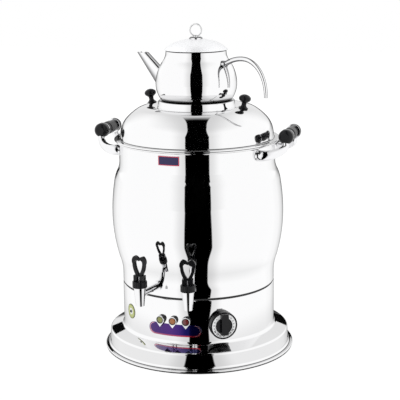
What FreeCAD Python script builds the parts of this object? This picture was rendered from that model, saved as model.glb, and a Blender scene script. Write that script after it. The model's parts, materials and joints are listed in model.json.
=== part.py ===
import FreeCAD
import Part
import Sketcher
import math
import os

# A catering tea urn, in millimetres.
# The origin is on the urn's axis at the surface it stands on, +Z is up and the taps face -Y.
# An azimuth is measured round the axis from the front, in degrees, and grows towards +X.

os.makedirs("parts", exist_ok=True)
Vector = FreeCAD.Vector
doc = FreeCAD.newDocument("TeaUrn")

# Driving dimensions: name, value, what it measures
DIMENSIONS = (
    ("base_sheet", 1.0, "thickness of the base shell"),
    ("foot_height", 2.0, "rubber ring under the rolled rim"),
    ("foot_lip_wall", 1.5, "thickness of the ring's inner lip"),
    ("rim_step", 10, "rolled rim outside the skirt wall"),
    ("rim_bead", 2, "radius of the rolled bead"),
    ("rim_lip", 4.5, "width of the flat under the bead"),
    ("skirt_step", 31.8, "skirt wall outside the housing"),
    ("skirt_flare", 6, "radius of the flare above the bead"),
    ("skirt_taper", 1.2, "how much the skirt wall leans in"),
    ("shoulder_height", 40.5, "top of the skirt wall"),
    ("shoulder_bend", 5, "radius of the shoulder's edge"),
    ("shoulder_angle", 19.5, "slope of the shoulder in degrees"),
    ("housing_radius", 165.2, "outside of the housing"),
    ("housing_bend", 8, "radius where the housing meets the shoulder"),
    ("housing_wall", 104.5, "height of the housing above the skirt wall"),
    ("housing_corner", 2, "radius of the housing's top edge"),
    ("seat_width", 9.2, "width of the flanges at the seam"),
    ("cover_sheet", 1.2, "thickness of the bottom cover"),
    ("cover_top", 9, "height of the bottom cover's top"),
    ("cover_vent", 4, "radius of a vent hole"),
    ("cover_vent_ring", 70, "radius of the ring of vent holes"),
    ("gasket_height", 3, "visible height of the seam gasket"),
    ("gasket_set_back", 0.8, "how far the gasket lies inside the walls"),
    ("tank_sheet", 1.2, "thickness of the tank wall"),
    ("seam_step", 0.3, "tank wall inside the housing at the seam"),
    ("tank_corner", 2, "radius at the foot of the tank wall"),
    ("belly_foot", 19, "straight tank wall above the seam"),
    ("hollow_swell", 6.7, "growth of the radius over the lower hollow"),
    ("hollow_tall", 37, "height of the lower hollow"),
    ("hollow_bend", 110, "radius of the lower hollow's outline"),
    ("belly_swell", 13.5, "growth of the radius from the hollow to the widest part"),
    ("belly_tall", 96, "height from the hollow to the widest part"),
    ("lower_bend", 345, "outline radius below the widest part"),
    ("upper_dip", 5.5, "loss of radius above the widest part"),
    ("upper_tall", 66, "height over which that radius is lost"),
    ("upper_bend", 400, "outline radius above the widest part"),
    ("shoulder_dip", 8.1, "loss of radius over the tank shoulder"),
    ("shoulder_tall", 27, "height of the tank shoulder"),
    ("shoulder_in_bend", 75, "outline radius of the tank shoulder"),
    ("neck_dip", 4.2, "loss of radius under the neck"),
    ("neck_hollow", 17, "height of the hollow under the neck"),
    ("neck_bend", 45, "outline radius under the neck"),
    ("neck_tall", 46.5, "height of the neck with its rolled mouth"),
    ("mouth_bead", 2, "radius of the mouth's bead"),
    ("mouth_overhang", 6.7, "how far the mouth stands out of the neck"),
    ("mouth_bend", 3, "radius under the mouth"),
    ("floor_sheet", 1.5, "thickness of the tank floor"),
    ("stud_radius", 3, "tie studs and their nuts' bore"),
    ("stud_ring", 130, "radius of the ring of tie studs"),
    ("nut_size", 10, "tie nut across its flats"),
    ("nut_height", 5, "tie nut height"),
    ("fit", 0.05, "radial clearance of a plain fit"),
    ("gap", 0.3, "clearance between bodies that part"),
    ("lid_sheet", 1.0, "thickness of the lid"),
    ("lid_skirt", 11, "depth of the lid's locating skirt"),
    ("lid_play", 0.8, "clearance of the lid's skirt in the neck"),
    ("lid_flange", 10, "lid's flange outside the neck"),
    ("lid_bead", 1.7, "radius of the lid flange's bead"),
    ("lid_wall_bend", 2.5, "radius where the wall leaves the flange"),
    ("lid_taper", 1.7, "how much the lid's wall leans in"),
    ("lid_wall_height", 17.2, "height of the wall's top above the flange's underside"),
    ("lid_side_in", 13.6, "share of the lid's width in its side curve"),
    ("lid_side_rise", 29, "height of the lid's side curve"),
    ("lid_side_bend", 51.6, "outline radius of the lid's side"),
    ("lid_slope_in", 21, "share of the lid's width in its slope"),
    ("lid_slope_rise", 17.7, "height of the lid's slope"),
    ("lid_slope_bend", 118, "outline radius of the lid's slope"),
    ("lid_crown_in", 37, "share of the lid's width in its crown"),
    ("lid_crown_step", 8, "lid's crown outside the teapot collar"),
    ("lid_crown_rise", 6.5, "height of the inner end of the crown above the slope"),
    ("lid_crown_bend", 47.1, "outline radius of the lid's crown"),
    ("collar_radius", 84, "foot of the teapot collar"),
    ("collar_seat_drop", 3.2, "collar's seat below the end of the crown"),
    ("steam_hole", 60, "radius of the hole under the teapot"),
    ("collar_flange", 8, "width of the collar's flange on the lid"),
    ("collar_height", 16.5, "height of the collar"),
    ("collar_top_radius", 81.3, "collar wall at its top"),
    ("collar_roll", 3, "radius of the collar's rolled top"),
    ("collar_bore", 75.4, "bore that holds the teapot"),
    ("collar_lip", 1.2, "radius of the collar's inner edge"),
    ("ledge_bend", 1.5, "radius where the ledge meets the bore"),
    ("ledge_depth", 5, "depth of the ledge below the collar's top"),
    ("ledge_inner", 64, "inner radius of the ledge"),
    ("knob_step", 20, "lid knob outside the lid's crown"),
    ("knob_azimuth", 76.75, "azimuth of the right lid knob"),
    ("knob_foot", 10, "radius of a lid knob's foot"),
    ("knob_cap", 12.6, "radius of a lid knob's cap"),
    ("knob_height", 30, "height of a lid knob"),
    ("knob_neck", 4.8, "radius of a lid knob's neck"),
    ("knob_screw", 2.5, "radius of the knob screws"),
    ("knob_thread", 12, "depth of the screw in the knob"),
    ("pot_sheet", 0.8, "thickness of the teapot"),
    ("pot_base", 66, "radius of the teapot's flat base"),
    ("pot_foot_swell", 8, "width of the teapot's base corner"),
    ("pot_foot_height", 3.8, "height of the base corner"),
    ("pot_corner", 10.3, "radius of the base corner"),
    ("pot_belly_swell", 12.5, "widest part outside the base corner"),
    ("pot_belly_tall", 35.4, "height of the widest part above the base corner"),
    ("pot_lower_bend", 56.4, "outline radius of the lower belly"),
    ("pot_upper_dip", 15.64, "loss of radius over the upper belly"),
    ("pot_upper_tall", 47.72, "height of the upper belly"),
    ("pot_upper_bend", 80.6, "outline radius of the upper belly"),
    ("pot_neck_dip", 6.46, "loss of radius under the neck"),
    ("pot_neck_tall", 18.08, "height of the hollow under the neck"),
    ("pot_neck_bend", 33.5, "outline radius under the neck"),
    ("pot_lip_taper", 0.4, "how much the lip leans in"),
    ("pot_lip", 4.2, "height of the teapot's lip"),
    ("spout_azimuth", -112.25, "azimuth of the teapot spout"),
    ("spout_root_reach", 76, "axis of the spout at its root"),
    ("spout_root_height", 24, "height of the spout's root above the base"),
    ("spout_root_tall", 21, "half height of the spout's root"),
    ("spout_root_wide", 14, "half width of the spout's root"),
    ("spout_tip_reach", 151, "axis of the spout at its tip"),
    ("spout_tip_height", 97.7, "height of the spout's tip above the base"),
    ("spout_tip_radius", 9.2, "radius of the spout at its tip"),
    ("strainer_hole", 2.5, "radius of a strainer hole"),
    ("strainer_pitch", 8, "pitch of the strainer holes"),
    ("handle_azimuth", 67.75, "azimuth of the teapot handle"),
    ("handle_root_height", 82.5, "height of the handle's root above the base"),
    ("handle_apex_reach", 122, "top of the handle, from the axis"),
    ("handle_rise", 14, "top of the handle above its root"),
    ("handle_tip_reach", 181, "free end of the handle, from the axis"),
    ("handle_tip_height", 20.5, "free end of the handle above the base"),
    ("handle_thick", 5.4, "radius of the handle at its root"),
    ("handle_thin", 3.9, "radius of the handle at its free end"),
    ("handle_plate", 8, "radius of the handle's round plate"),
    ("handle_plate_thick", 3, "thickness of the round plate"),
    ("prong_length", 47, "length of the handle's lower prong"),
    ("pot_lid_sheet", 0.8, "thickness of the teapot lid"),
    ("pot_lid_play", 0.6, "clearance of the teapot lid's skirt in the mouth"),
    ("pot_lid_skirt", 6.2, "depth of the teapot lid's skirt"),
    ("pot_lid_bead", 1.0, "radius of the teapot lid's bead"),
    ("pot_lid_overhang", 2.8, "how far the lid stands out of the mouth"),
    ("pot_lid_side_radius", 45, "end of the lid's side curve"),
    ("pot_lid_side_height", 16.3, "height of that point above the mouth"),
    ("pot_lid_side_bend", 50, "outline radius of the lid's side"),
    ("pot_lid_height", 24.1, "height of the teapot lid above the mouth"),
    ("pot_lid_crown_bend", 134, "outline radius of the lid's crown"),
    ("ring_base_radius", 14, "disc under the ring knob"),
    ("ring_base_height", 3.6, "height of that disc"),
    ("ring_boss_radius", 4.2, "boss that holds the ring"),
    ("ring_boss_height", 7.2, "height of the boss"),
    ("ring_radius", 12.5, "centre line of the ring knob"),
    ("ring_wire", 1.35, "wire radius of the ring knob"),
    ("grip_out", 35.7, "side grip's centre line outside the neck"),
    ("grip_rise", 35.7, "side grips above the arm roots"),
    ("grip_half", 50, "half length of a side grip"),
    ("grip_radius", 15.5, "radius of a grip's end drums"),
    ("grip_drum", 19, "length of an end drum"),
    ("grip_waist", 12.6, "radius of the grip between its drums"),
    ("grip_rib", 13.8, "radius of the grip's middle rib"),
    ("grip_ring", 1.6, "width of a grip ring"),
    ("arm_spacing", 82, "distance between the arms at the grip"),
    ("arm_angle", 24.5, "azimuth of an arm's root from its handle's middle"),
    ("arm_drop", 19.2, "arm roots below the tank's mouth"),
    ("arm_root_tall", 11.5, "half height of an arm at its root"),
    ("arm_root_wide", 8.5, "half width of an arm at its root"),
    ("arm_tip", 7.2, "radius of an arm in the grip"),
    ("arm_socket", 9, "depth of an arm in the grip"),
    ("rosette_radius", 12, "radius of the rosettes on the neck"),
    ("rosette_thick", 4, "thickness of a rosette"),
    ("arm_bolt", 3, "radius of the arm bolts"),
    ("arm_bolt_depth", 12, "depth of a bolt in its arm"),
    ("bolt_head_radius", 5.5, "radius of an arm bolt's head"),
    ("bolt_head_height", 4, "height of an arm bolt's head"),
    ("bolt_seal", 1.5, "thickness of the seal under a bolt's head"),
    ("tap_turn", -1.6, "azimuth midway between the taps"),
    ("tap_azimuth", 12.9, "azimuth of each tap from midway"),
    ("tap_out", 65.1, "tap barrel's axis outside the tank wall"),
    ("tap_rise", 22.5, "taps above the seam"),
    ("barrel_radius", 12.5, "tap barrel at its top"),
    ("barrel_rise", 15, "top of the barrel above the shank"),
    ("outlet_radius", 9, "tap barrel at its outlet"),
    ("outlet_drop", 24, "outlet below the shank"),
    ("outlet_bore", 6, "bore of the outlet"),
    ("valve_bore", 9.5, "bore of the valve chamber"),
    ("seat_drop", 4, "valve seat below the shank"),
    ("spigot_radius", 11, "threaded top of the barrel"),
    ("spigot_height", 9, "height of the threaded top"),
    ("shank_radius", 7, "outside of the shank"),
    ("shank_bore", 4.5, "bore of the shank"),
    ("shank_inside", 18, "length of the shank inside the tank wall"),
    ("tap_flange_radius", 10.5, "flange nut on the outside of the tank"),
    ("tap_flange_thick", 5, "thickness of the flange nut"),
    ("tap_seal_radius", 10.5, "seal inside the tank"),
    ("tap_seal_thick", 2.5, "thickness of that seal"),
    ("tap_nut_radius", 11.5, "inner nut across its corners, halved"),
    ("tap_nut_thick", 6, "thickness of the inner nut"),
    ("cap_radius", 15, "tap cap"),
    ("cap_height", 13, "height of the tap cap"),
    ("cap_roof", 3.5, "thickness of the cap's top"),
    ("cap_flutes", 18, "number of flutes round the cap"),
    ("flute_radius", 1.6, "radius of a flute"),
    ("stem_radius", 3, "valve stem"),
    ("stem_clearance", 0.1, "radial clearance of the stem in the cap"),
    ("cup_radius", 8, "silicone seat cup"),
    ("cup_height", 10, "height of the seat cup"),
    ("spring_radius", 6, "mean radius of the valve spring"),
    ("spring_wire", 1.2, "wall of the valve spring's tube"),
    ("pivot_rise", 6.3, "lever pivot above the cap"),
    ("pin_radius", 1.5, "lever pin"),
    ("eye_rise", 2.5, "stem above its pin"),
    ("heel_wide", 22, "width of the lever's heel"),
    ("heel_deep", 13, "depth of the lever's heel"),
    ("heel_tall", 12, "height of the lever's heel"),
    ("heel_bend", 1.5, "radius of the heel's lower edges"),
    ("loop_wide", 14.8, "half width of the lever's loop"),
    ("loop_tall", 39.8, "height of the lever's loop"),
    ("loop_waist", 23, "height of the loop's widest part above the heel"),
    ("loop_lobe", 10, "half distance between the loop's two lobes"),
    ("loop_notch", 5.5, "depth of the notch between the lobes"),
    ("loop_deep", 6.6, "depth of the lever's loop"),
    ("loop_bar", 5.9, "width of the loop's bar"),
    ("dial_azimuth", 33.5, "azimuth of the thermostat knob"),
    ("dial_drop", 53.4, "thermostat knob below the housing's top"),
    ("dial_radius", 29, "radius of the knob's drum"),
    ("dial_drum", 11.5, "thickness of the knob's drum"),
    ("dial_gap", 1.2, "gap between the knob and the housing"),
    ("dial_ring_outer", 25.5, "outside of the dial ring"),
    ("dial_ring_inner", 17.7, "inside of the dial ring"),
    ("dial_ring_thick", 1.2, "thickness of the dial ring"),
    ("hub_rise", 2.5, "hub above the drum"),
    ("bar_wide", 15, "width of the knob's grip bar"),
    ("bar_rise", 10, "grip bar above the drum"),
    ("bar_up", 27, "grip bar above the knob's axis"),
    ("dial_shaft", 3, "thermostat shaft"),
    ("dial_shaft_in_knob", 9, "depth of the shaft in the knob"),
    ("thermostat_inset", 16.2, "front of the thermostat's bracket inside the housing"),
    ("thermostat_width", 36, "width of the thermostat's body"),
    ("thermostat_depth", 26, "depth of the thermostat's body"),
    ("bracket_sheet", 1.5, "thickness of the thermostat bracket"),
    ("bracket_half", 25, "half width of the thermostat bracket"),
    ("bracket_tall", 40, "height of the thermostat bracket"),
    ("bush_radius", 5, "thermostat's threaded bush"),
    ("capillary_radius", 1, "capillary tube"),
    ("bulb_radius", 3.5, "thermostat bulb"),
    ("bulb_rise", 59.25, "top of the thermostat bulb above the tank floor"),
    ("bulb_step", 32.9, "thermostat bulb's axis inside the tank's foot"),
    ("element_ring", 98, "radius of the heating element's ring"),
    ("element_tube", 4.2, "radius of the heating element's tube"),
    ("element_rise", 20, "element above the tank floor"),
    ("element_bend", 14, "radius of the element's end bends"),
    ("element_angle", 18, "azimuth of an element end from the rear"),
    ("element_tail", 16, "element ends below the tank floor"),
    ("element_bush", 8, "radius of the element's bushes"),
    ("element_bush_head", 11, "radius of a bush's head"),
    ("cutout_radius", 8.5, "radius of the dry-boil cutout"),
    ("cutout_height", 9, "height of the dry-boil cutout"),
    ("block_length", 46, "length of the terminal block"),
    ("block_width", 22, "width of the terminal block"),
    ("block_height", 18, "height of the terminal block"),
    ("block_reach", 95, "terminal block from the axis, towards the rear"),
    ("gland_drop", 55, "cable gland below the housing's top"),
    ("gland_bore", 4, "bore of the gland's cap, which grips the cable"),
    ("gland_throat", 5.5, "bore of the gland's body"),
    ("gland_thread", 8, "thread radius of the cable gland"),
    ("gland_radius", 11, "radius of the gland's nut"),
    ("gland_length", 14, "gland outside the housing"),
    ("gland_inside", 12, "gland inside the housing"),
    ("lamp_drop", 45, "lamps below the housing's top"),
    ("lamp_azimuth", -2.1, "azimuth of the middle lamp"),
    ("lamp_angle", 9.5, "azimuth from lamp to lamp"),
    ("lens_radius", 7.9, "lamp lens"),
    ("lens_stem", 5.9, "lens where it passes the housing"),
    ("lens_dome", 1.5, "rise of the lens's front"),
    ("bezel_radius", 9.2, "round part of a lamp bezel"),
    ("bezel_point", 15, "bezel's point below the lamp's axis"),
    ("bezel_depth", 2.6, "depth of a lamp bezel"),
    ("lamp_collar_depth", 4.4, "depth of the black collar behind a bezel"),
    ("holder_radius", 8, "lamp holder"),
    ("holder_length", 18, "length of a lamp holder"),
    ("panel_azimuth", -2, "azimuth of the lamp panel's middle"),
    ("panel_drop", 21.5, "lamp panel's middle below the lamps"),
    ("panel_length", 118, "length of the lamp panel round the housing"),
    ("panel_tall", 26, "height of the lamp panel"),
    ("panel_sheet", 0.6, "thickness of the plates on the urn"),
    ("plate_azimuth", -3.5, "azimuth of the blank plate on the neck"),
    ("plate_drop", 19.5, "blank plate's middle below the tank's mouth"),
    ("plate_length", 47, "length of the blank plate"),
    ("plate_tall", 21, "height of the blank plate"),
    ("plate_corner", 2, "corner radius of the blank plate"),
    ("disc_azimuth", -44.5, "azimuth of the side disc"),
    ("disc_drop", 48.7, "side disc below the housing's top"),
    ("disc_radius", 16, "radius of the side disc"),
    ("disc_screw", 2, "radius of the side disc's screw"),
    ("disc_screw_head", 3.2, "radius of that screw's head"),
)

# Sizes that follow from them: name, formula in the sheet, what it measures
FOLLOWING = (
    ("housing_top", "shoulder_height + housing_wall", "top of the housing"),
    ("seat_inner", "housing_radius - seat_width", "inner radius of the flanges at the seam"),
    ("skirt_radius", "housing_radius + skirt_step", "skirt wall above the flare"),
    ("rim_radius", "skirt_radius + rim_step", "outside of the rolled rim"),
    ("tank_radius", "housing_radius - seam_step", "tank wall just above the seam"),
    ("hollow_end_radius", "tank_radius + hollow_swell", "end of the lower hollow"),
    ("belly_radius", "hollow_end_radius + belly_swell", "widest part of the tank"),
    ("upper_radius", "belly_radius - upper_dip", "tank above the widest part"),
    ("shoulder_in_radius", "upper_radius - shoulder_dip", "end of the tank shoulder"),
    ("neck_radius", "shoulder_in_radius - neck_dip", "neck of the tank"),
    ("belly_start", "housing_top + gasket_height + belly_foot", "where the belly begins"),
    ("hollow_end", "belly_start + hollow_tall", "end of the lower hollow"),
    ("belly_height", "hollow_end + belly_tall", "height of the widest part"),
    ("upper_height", "belly_height + upper_tall", "where the tank shoulder begins"),
    ("shoulder_in_height", "upper_height + shoulder_tall", "where the neck's hollow begins"),
    ("neck_start", "shoulder_in_height + neck_hollow", "where the neck begins"),
    ("mouth_height", "neck_start + neck_tall", "top of the tank's rolled mouth"),
    ("lid_skirt_radius", "neck_radius - tank_sheet - lid_play", "outside of the lid's skirt"),
    ("lid_flange_radius", "neck_radius + lid_flange", "outside of the lid's flange"),
    ("lid_wall_radius", "lid_skirt_radius - lid_taper", "lid wall at its top"),
    ("lid_crown_radius", "collar_radius + lid_crown_step", "inner end of the lid's crown"),
    ("knob_reach", "lid_crown_radius + knob_step", "distance of a lid knob from the axis"),
    ("lid_shares", "lid_side_in + lid_slope_in + lid_crown_in", "sum of the lid's shares"),
    ("lid_share", "(lid_wall_radius - lid_crown_radius) / lid_shares", "width of one share"),
    ("lid_side_radius", "lid_wall_radius - lid_side_in * lid_share", "end of the lid's side curve"),
    ("lid_slope_radius", "lid_side_radius - lid_slope_in * lid_share", "end of the lid's slope"),
    ("lid_side_height", "lid_wall_height + lid_side_rise", "its height above the flange"),
    ("lid_slope_height", "lid_side_height + lid_slope_rise", "its height above the flange"),
    ("lid_crown_height", "lid_slope_height + lid_crown_rise", "its height above the flange"),
    ("collar_seat_height", "lid_crown_height - collar_seat_drop", "collar's seat above the flange"),
    ("pot_foot_radius", "pot_base + pot_foot_swell", "teapot above its base corner"),
    ("pot_belly_radius", "pot_foot_radius + pot_belly_swell", "widest part of the teapot"),
    ("pot_upper_radius", "pot_belly_radius - pot_upper_dip", "upper end of the belly"),
    ("pot_neck_radius", "pot_upper_radius - pot_neck_dip", "neck of the teapot"),
    ("pot_mouth_radius", "pot_neck_radius - pot_lip_taper", "mouth of the teapot"),
    ("pot_belly_height", "pot_foot_height + pot_belly_tall", "widest part above the base"),
    ("pot_upper_height", "pot_belly_height + pot_upper_tall", "upper end of the belly"),
    ("pot_neck_height", "pot_upper_height + pot_neck_tall", "where the lip begins"),
    ("pot_height", "pot_neck_height + pot_lip", "height of the teapot's mouth"),
    ("arm_height", "mouth_height - arm_drop", "height of the arm roots"),
    ("grip_height", "arm_height + grip_rise", "height of the side grips"),
    ("grip_reach", "neck_radius + grip_out", "side grip's centre line from the axis"),
    ("plate_height", "mouth_height - plate_drop", "height of the blank plate's middle"),
    ("bulb_reach", "tank_radius - bulb_step", "thermostat bulb from the axis"),
    ("tap_reach", "tank_radius + tap_out", "tap barrel's axis from the urn's axis"),
    ("tap_height", "housing_top + gasket_height + tap_rise", "height of a tap's shank"),
    ("dial_height", "housing_top - dial_drop", "height of the thermostat knob"),
    ("thermostat_reach", "housing_radius - base_sheet - thermostat_inset", "bracket's front"),
    ("gland_height", "housing_top - gland_drop", "height of the cable gland"),
    ("lamp_height", "housing_top - lamp_drop", "height of the lamps"),
    ("panel_height", "lamp_height - panel_drop", "height of the lamp panel's middle"),
    ("disc_height", "housing_top - disc_drop", "height of the side disc"),
)


class Size:
    """A length with its number and the sheet expression that gives it."""

    def __init__(self, number, text):
        self.number = float(number)
        self.text = text

    def __float__(self):
        return self.number

    def __add__(self, other):
        return Size(self.number + float(other), "(%s + %s)" % (self.text, text_of(other)))

    def __radd__(self, other):
        return Size(float(other) + self.number, "(%s + %s)" % (text_of(other), self.text))

    def __sub__(self, other):
        return Size(self.number - float(other), "(%s - %s)" % (self.text, text_of(other)))

    def __rsub__(self, other):
        return Size(float(other) - self.number, "(%s - %s)" % (text_of(other), self.text))

    def __mul__(self, other):
        return Size(self.number * float(other), "(%s * %s)" % (self.text, text_of(other)))

    def __rmul__(self, other):
        return self * other

    def __truediv__(self, other):
        return Size(self.number / float(other), "(%s / %s)" % (self.text, text_of(other)))

    def __neg__(self):
        return Size(-self.number, "(-%s)" % self.text)


def text_of(value):
    """The expression text of a size or of a plain number."""
    if isinstance(value, Size):
        return value.text
    return "%.6f" % value


class Sizes:
    """Every dimension, by its alias in the sheet."""


size = Sizes()
sheet = doc.addObject("Spreadsheet::Sheet", "Sheet")
for row, (name, value, meaning) in enumerate(DIMENSIONS, start=1):
    sheet.set("A%d" % row, str(value))
    sheet.set("B%d" % row, meaning)
    sheet.setAlias("A%d" % row, name)
    setattr(size, name, Size(value, "Sheet." + name))
for row, (name, formula, meaning) in enumerate(FOLLOWING, start=len(DIMENSIONS) + 1):
    sheet.set("A%d" % row, "=" + formula)
    sheet.set("B%d" % row, meaning)
    sheet.setAlias("A%d" % row, name)
doc.recompute()
for name, formula, meaning in FOLLOWING:
    setattr(size, name, Size(sheet.get(name), "Sheet." + name))


# Heights that several pieces share, worked out from the driving dimensions

tank_foot = size.housing_top + size.gasket_height
floor_under = tank_foot + size.tank_sheet + size.fit
floor_top = floor_under + size.floor_sheet
lid_under = size.mouth_height + size.gap
collar_foot = lid_under + size.collar_seat_height + size.fit
collar_top = collar_foot + size.collar_height
ledge_top = collar_top - size.ledge_depth
pot_under = ledge_top + size.gap
pot_mouth = pot_under + size.pot_height
pot_lid_under = pot_mouth + size.gap
cap_under = size.barrel_rise + size.fit
cap_top = cap_under + size.cap_height
pivot_height = cap_top + size.pivot_rise


# Places round the urn

def turn_about(azimuth):
    """Outward and sideways directions at an azimuth in degrees."""
    angle = math.radians(float(azimuth))
    outward = Vector(math.sin(angle), -math.cos(angle), 0)
    sideways = Vector(math.cos(angle), math.sin(angle), 0)
    return outward, sideways


def chord_reach(radius, half):
    """Distance from the axis of a flat of a given half width inside a round wall."""
    reach = math.sqrt(max(float(radius) ** 2 - float(half) ** 2, 0))
    return Size(reach, "sqrt(%s * %s - %s * %s)" % (
        text_of(radius), text_of(radius), text_of(half), text_of(half)))


def slope_of(angle):
    """Sine and cosine of a slope in degrees."""
    turn = math.radians(float(angle))
    text = text_of(angle)
    return Size(math.sin(turn), "sin(%s)" % text), Size(math.cos(turn), "cos(%s)" % text)


def half_chord(radius, length):
    """Half the straight width of something that is a given length round a wall."""
    turn = float(length) / (2 * float(radius))
    return Size(float(radius) * math.sin(turn), "%s * sin(%s / (2 * %s) * 180 / pi)" % (
        text_of(radius), text_of(length), text_of(radius)))


def dome(half, rise):
    """Radius of an arc that rises over half a width and is level on the axis."""
    return (half * half + rise * rise) / (2 * rise)


def facing_out(azimuth, reach, height):
    """Placement whose local Z points outward and local Y up."""
    outward, sideways = turn_about(azimuth)
    turn = FreeCAD.Rotation(sideways, Vector(0, 0, 1), outward, "ZXY")
    return FreeCAD.Placement(outward * float(reach) + Vector(0, 0, float(height)), turn)


def standing(azimuth, reach, height):
    """Placement whose local Z points up and local Y towards the urn's axis."""
    outward, sideways = turn_about(azimuth)
    turn = FreeCAD.Rotation(sideways, outward * -1, Vector(0, 0, 1), "ZXY")
    return FreeCAD.Placement(outward * float(reach) + Vector(0, 0, float(height)), turn)


def at(x, y, z):
    """Placement that only moves."""
    return FreeCAD.Placement(Vector(float(x), float(y), float(z)), FreeCAD.Rotation())


# Document objects

def bind(thing, name, value):
    """Bind a property to the sheet."""
    thing.setExpression(name, text_of(value))


def add(kind, name, placement=None):
    """New document object."""
    thing = doc.addObject(kind, name)
    if placement is not None:
        thing.Placement = placement
    return thing


def arc_centre(start, end, radius):
    """Centre of the short arc from start to end, on the left of the way for a positive radius."""
    across = end - start
    half = across.Length / 2
    away = math.sqrt(max(float(radius) ** 2 - half ** 2, 0))
    left = Vector(-across.y, across.x, 0).normalize()
    return (start + end) * 0.5 + left * (away if float(radius) > 0 else -away)


def pin_down(sketch, geometry, point, x, y):
    """Bind one end of a sketch edge to its coordinates."""
    for kind, value, axis in (("DistanceX", x, -2), ("DistanceY", y, -1)):
        if float(value) == 0:
            sketch.addConstraint(Sketcher.Constraint("PointOnObject", geometry, point, axis))
        else:
            index = sketch.addConstraint(
                Sketcher.Constraint(kind, -1, 1, geometry, point, float(value)))
            sketch.setExpression("Constraints[%d]" % index, text_of(value))


def draw(sketch, outline, closed):
    """Draw lines and arcs through corners (x, y) or (x, y, radius of the arc that arrives)."""
    corners = list(outline)
    if closed:
        corners.append(corners[0])
    first = sketch.GeometryCount
    arrivals = []
    for here, there in zip(corners[:-1], corners[1:]):
        start = Vector(float(here[0]), float(here[1]), 0)
        end = Vector(float(there[0]), float(there[1]), 0)
        if len(there) == 2:
            sketch.addGeometry(Part.LineSegment(start, end))
            arrivals.append((1, 2))
            continue
        centre = arc_centre(start, end, there[2])
        circle = Part.Circle(centre, Vector(0, 0, 1), abs(float(there[2])))
        begin, finish = (start, end) if float(there[2]) > 0 else (end, start)
        sketch.addGeometry(Part.ArcOfCircle(
            circle, circle.parameter(begin), circle.parameter(finish)))
        index = sketch.addConstraint(Sketcher.Constraint(
            "Radius", sketch.GeometryCount - 1, abs(float(there[2]))))
        bent = there[2] if float(there[2]) > 0 else -there[2]
        sketch.setExpression("Constraints[%d]" % index, text_of(bent))
        arrivals.append((1, 2) if float(there[2]) > 0 else (2, 1))
    count = len(arrivals)
    for index in range(count):
        x, y = corners[index][:2]
        pin_down(sketch, first + index, arrivals[index][0], x, y)
        last = index + 1 == count
        if last and not closed:
            pin_down(sketch, first + index, arrivals[index][1], *corners[-1][:2])
            continue
        after = 0 if last else index + 1
        sketch.addConstraint(Sketcher.Constraint(
            "Coincident", first + index, arrivals[index][1], first + after, arrivals[after][0]))


def draw_circle(sketch, x, y, radius):
    """Draw a circle bound to its centre and radius."""
    sketch.addGeometry(Part.Circle(Vector(float(x), float(y), 0), Vector(0, 0, 1), float(radius)))
    geometry = sketch.GeometryCount - 1
    pin_down(sketch, geometry, 3, x, y)
    index = sketch.addConstraint(Sketcher.Constraint("Radius", geometry, float(radius)))
    sketch.setExpression("Constraints[%d]" % index, text_of(radius))


def spun(name, outline, thickness):
    """Sheet metal spun about the urn's axis: the sheet lies on the left of its outline."""
    upright = FreeCAD.Rotation(Vector(1, 0, 0), 90)
    sketch = add("Sketcher::SketchObject", name + "_line", FreeCAD.Placement(Vector(), upright))
    draw(sketch, outline, closed=False)
    section = add("Part::Offset2D", name + "_section")
    section.Source = sketch
    section.Mode = "Skin"
    section.Fill = True
    bind(section, "Value", thickness)
    shell = add("Part::Revolution", name)
    shell.Source = section
    shell.Axis = Vector(0, 0, 1)
    shell.Angle = 360
    shell.Solid = True
    return shell


def plane_of(body, role):
    """One of a body's own origin planes."""
    return [item for item in body.Origin.OriginFeatures if item.Role == role][0]


def sketch_in(body, role):
    """New sketch on an origin plane of its body."""
    sketch = body.newObject("Sketcher::SketchObject", body.Name + "_sketch")
    sketch.AttachmentSupport = [(plane_of(body, role), "")]
    sketch.MapMode = "FlatFace"
    return sketch


def turned(name, outline, placement=None):
    """A body turned about its local Z, from a closed outline of (radius, height) corners."""
    body = add("PartDesign::Body", name)
    sketch = sketch_in(body, "XZ_Plane")
    draw(sketch, outline, closed=True)
    spin = body.newObject("PartDesign::Revolution", name + "_spin")
    spin.Profile = sketch
    spin.ReferenceAxis = (sketch, ["V_Axis"])
    spin.Angle = 360
    if placement is not None:
        body.Placement = placement
    return body


def padded(name, role, outlines, depth, placement=None, middle=True):
    """A body padded from closed outlines on one of its planes."""
    body = add("PartDesign::Body", name)
    sketch = sketch_in(body, role)
    for outline in outlines:
        if outline[0] == "circle":
            draw_circle(sketch, *outline[1:])
        else:
            draw(sketch, outline, closed=True)
    pad = body.newObject("PartDesign::Pad", name + "_pad")
    pad.Profile = sketch
    pad.Midplane = middle
    bind(pad, "Length", depth)
    if placement is not None:
        body.Placement = placement
    return body


def cylinder(name, radius, length, placement):
    """Part cylinder bound to the sheet."""
    thing = add("Part::Cylinder", name, placement)
    bind(thing, "Radius", radius)
    bind(thing, "Height", length)
    return thing


def cone(name, low, high, length, placement):
    """Part cone bound to the sheet."""
    thing = add("Part::Cone", name, placement)
    bind(thing, "Radius1", low)
    bind(thing, "Radius2", high)
    bind(thing, "Height", length)
    return thing


def block(name, length, width, height, frame, low):
    """Part box bound to the sheet, with its low corner in the frame given."""
    corner = FreeCAD.Placement(Vector(*[float(value) for value in low]), FreeCAD.Rotation())
    thing = add("Part::Box", name, frame.multiply(corner))
    bind(thing, "Length", length)
    bind(thing, "Width", width)
    bind(thing, "Height", height)
    return thing


def prism(name, sides, radius, height, placement):
    """Regular prism bound to the sheet, such as a nut."""
    thing = add("Part::Prism", name, placement)
    thing.Polygon = sides
    bind(thing, "Circumradius", radius)
    bind(thing, "Height", height)
    return thing


def fused(name, pieces):
    """One solid from several."""
    thing = add("Part::MultiFuse", name)
    thing.Shapes = pieces
    return thing


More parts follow.
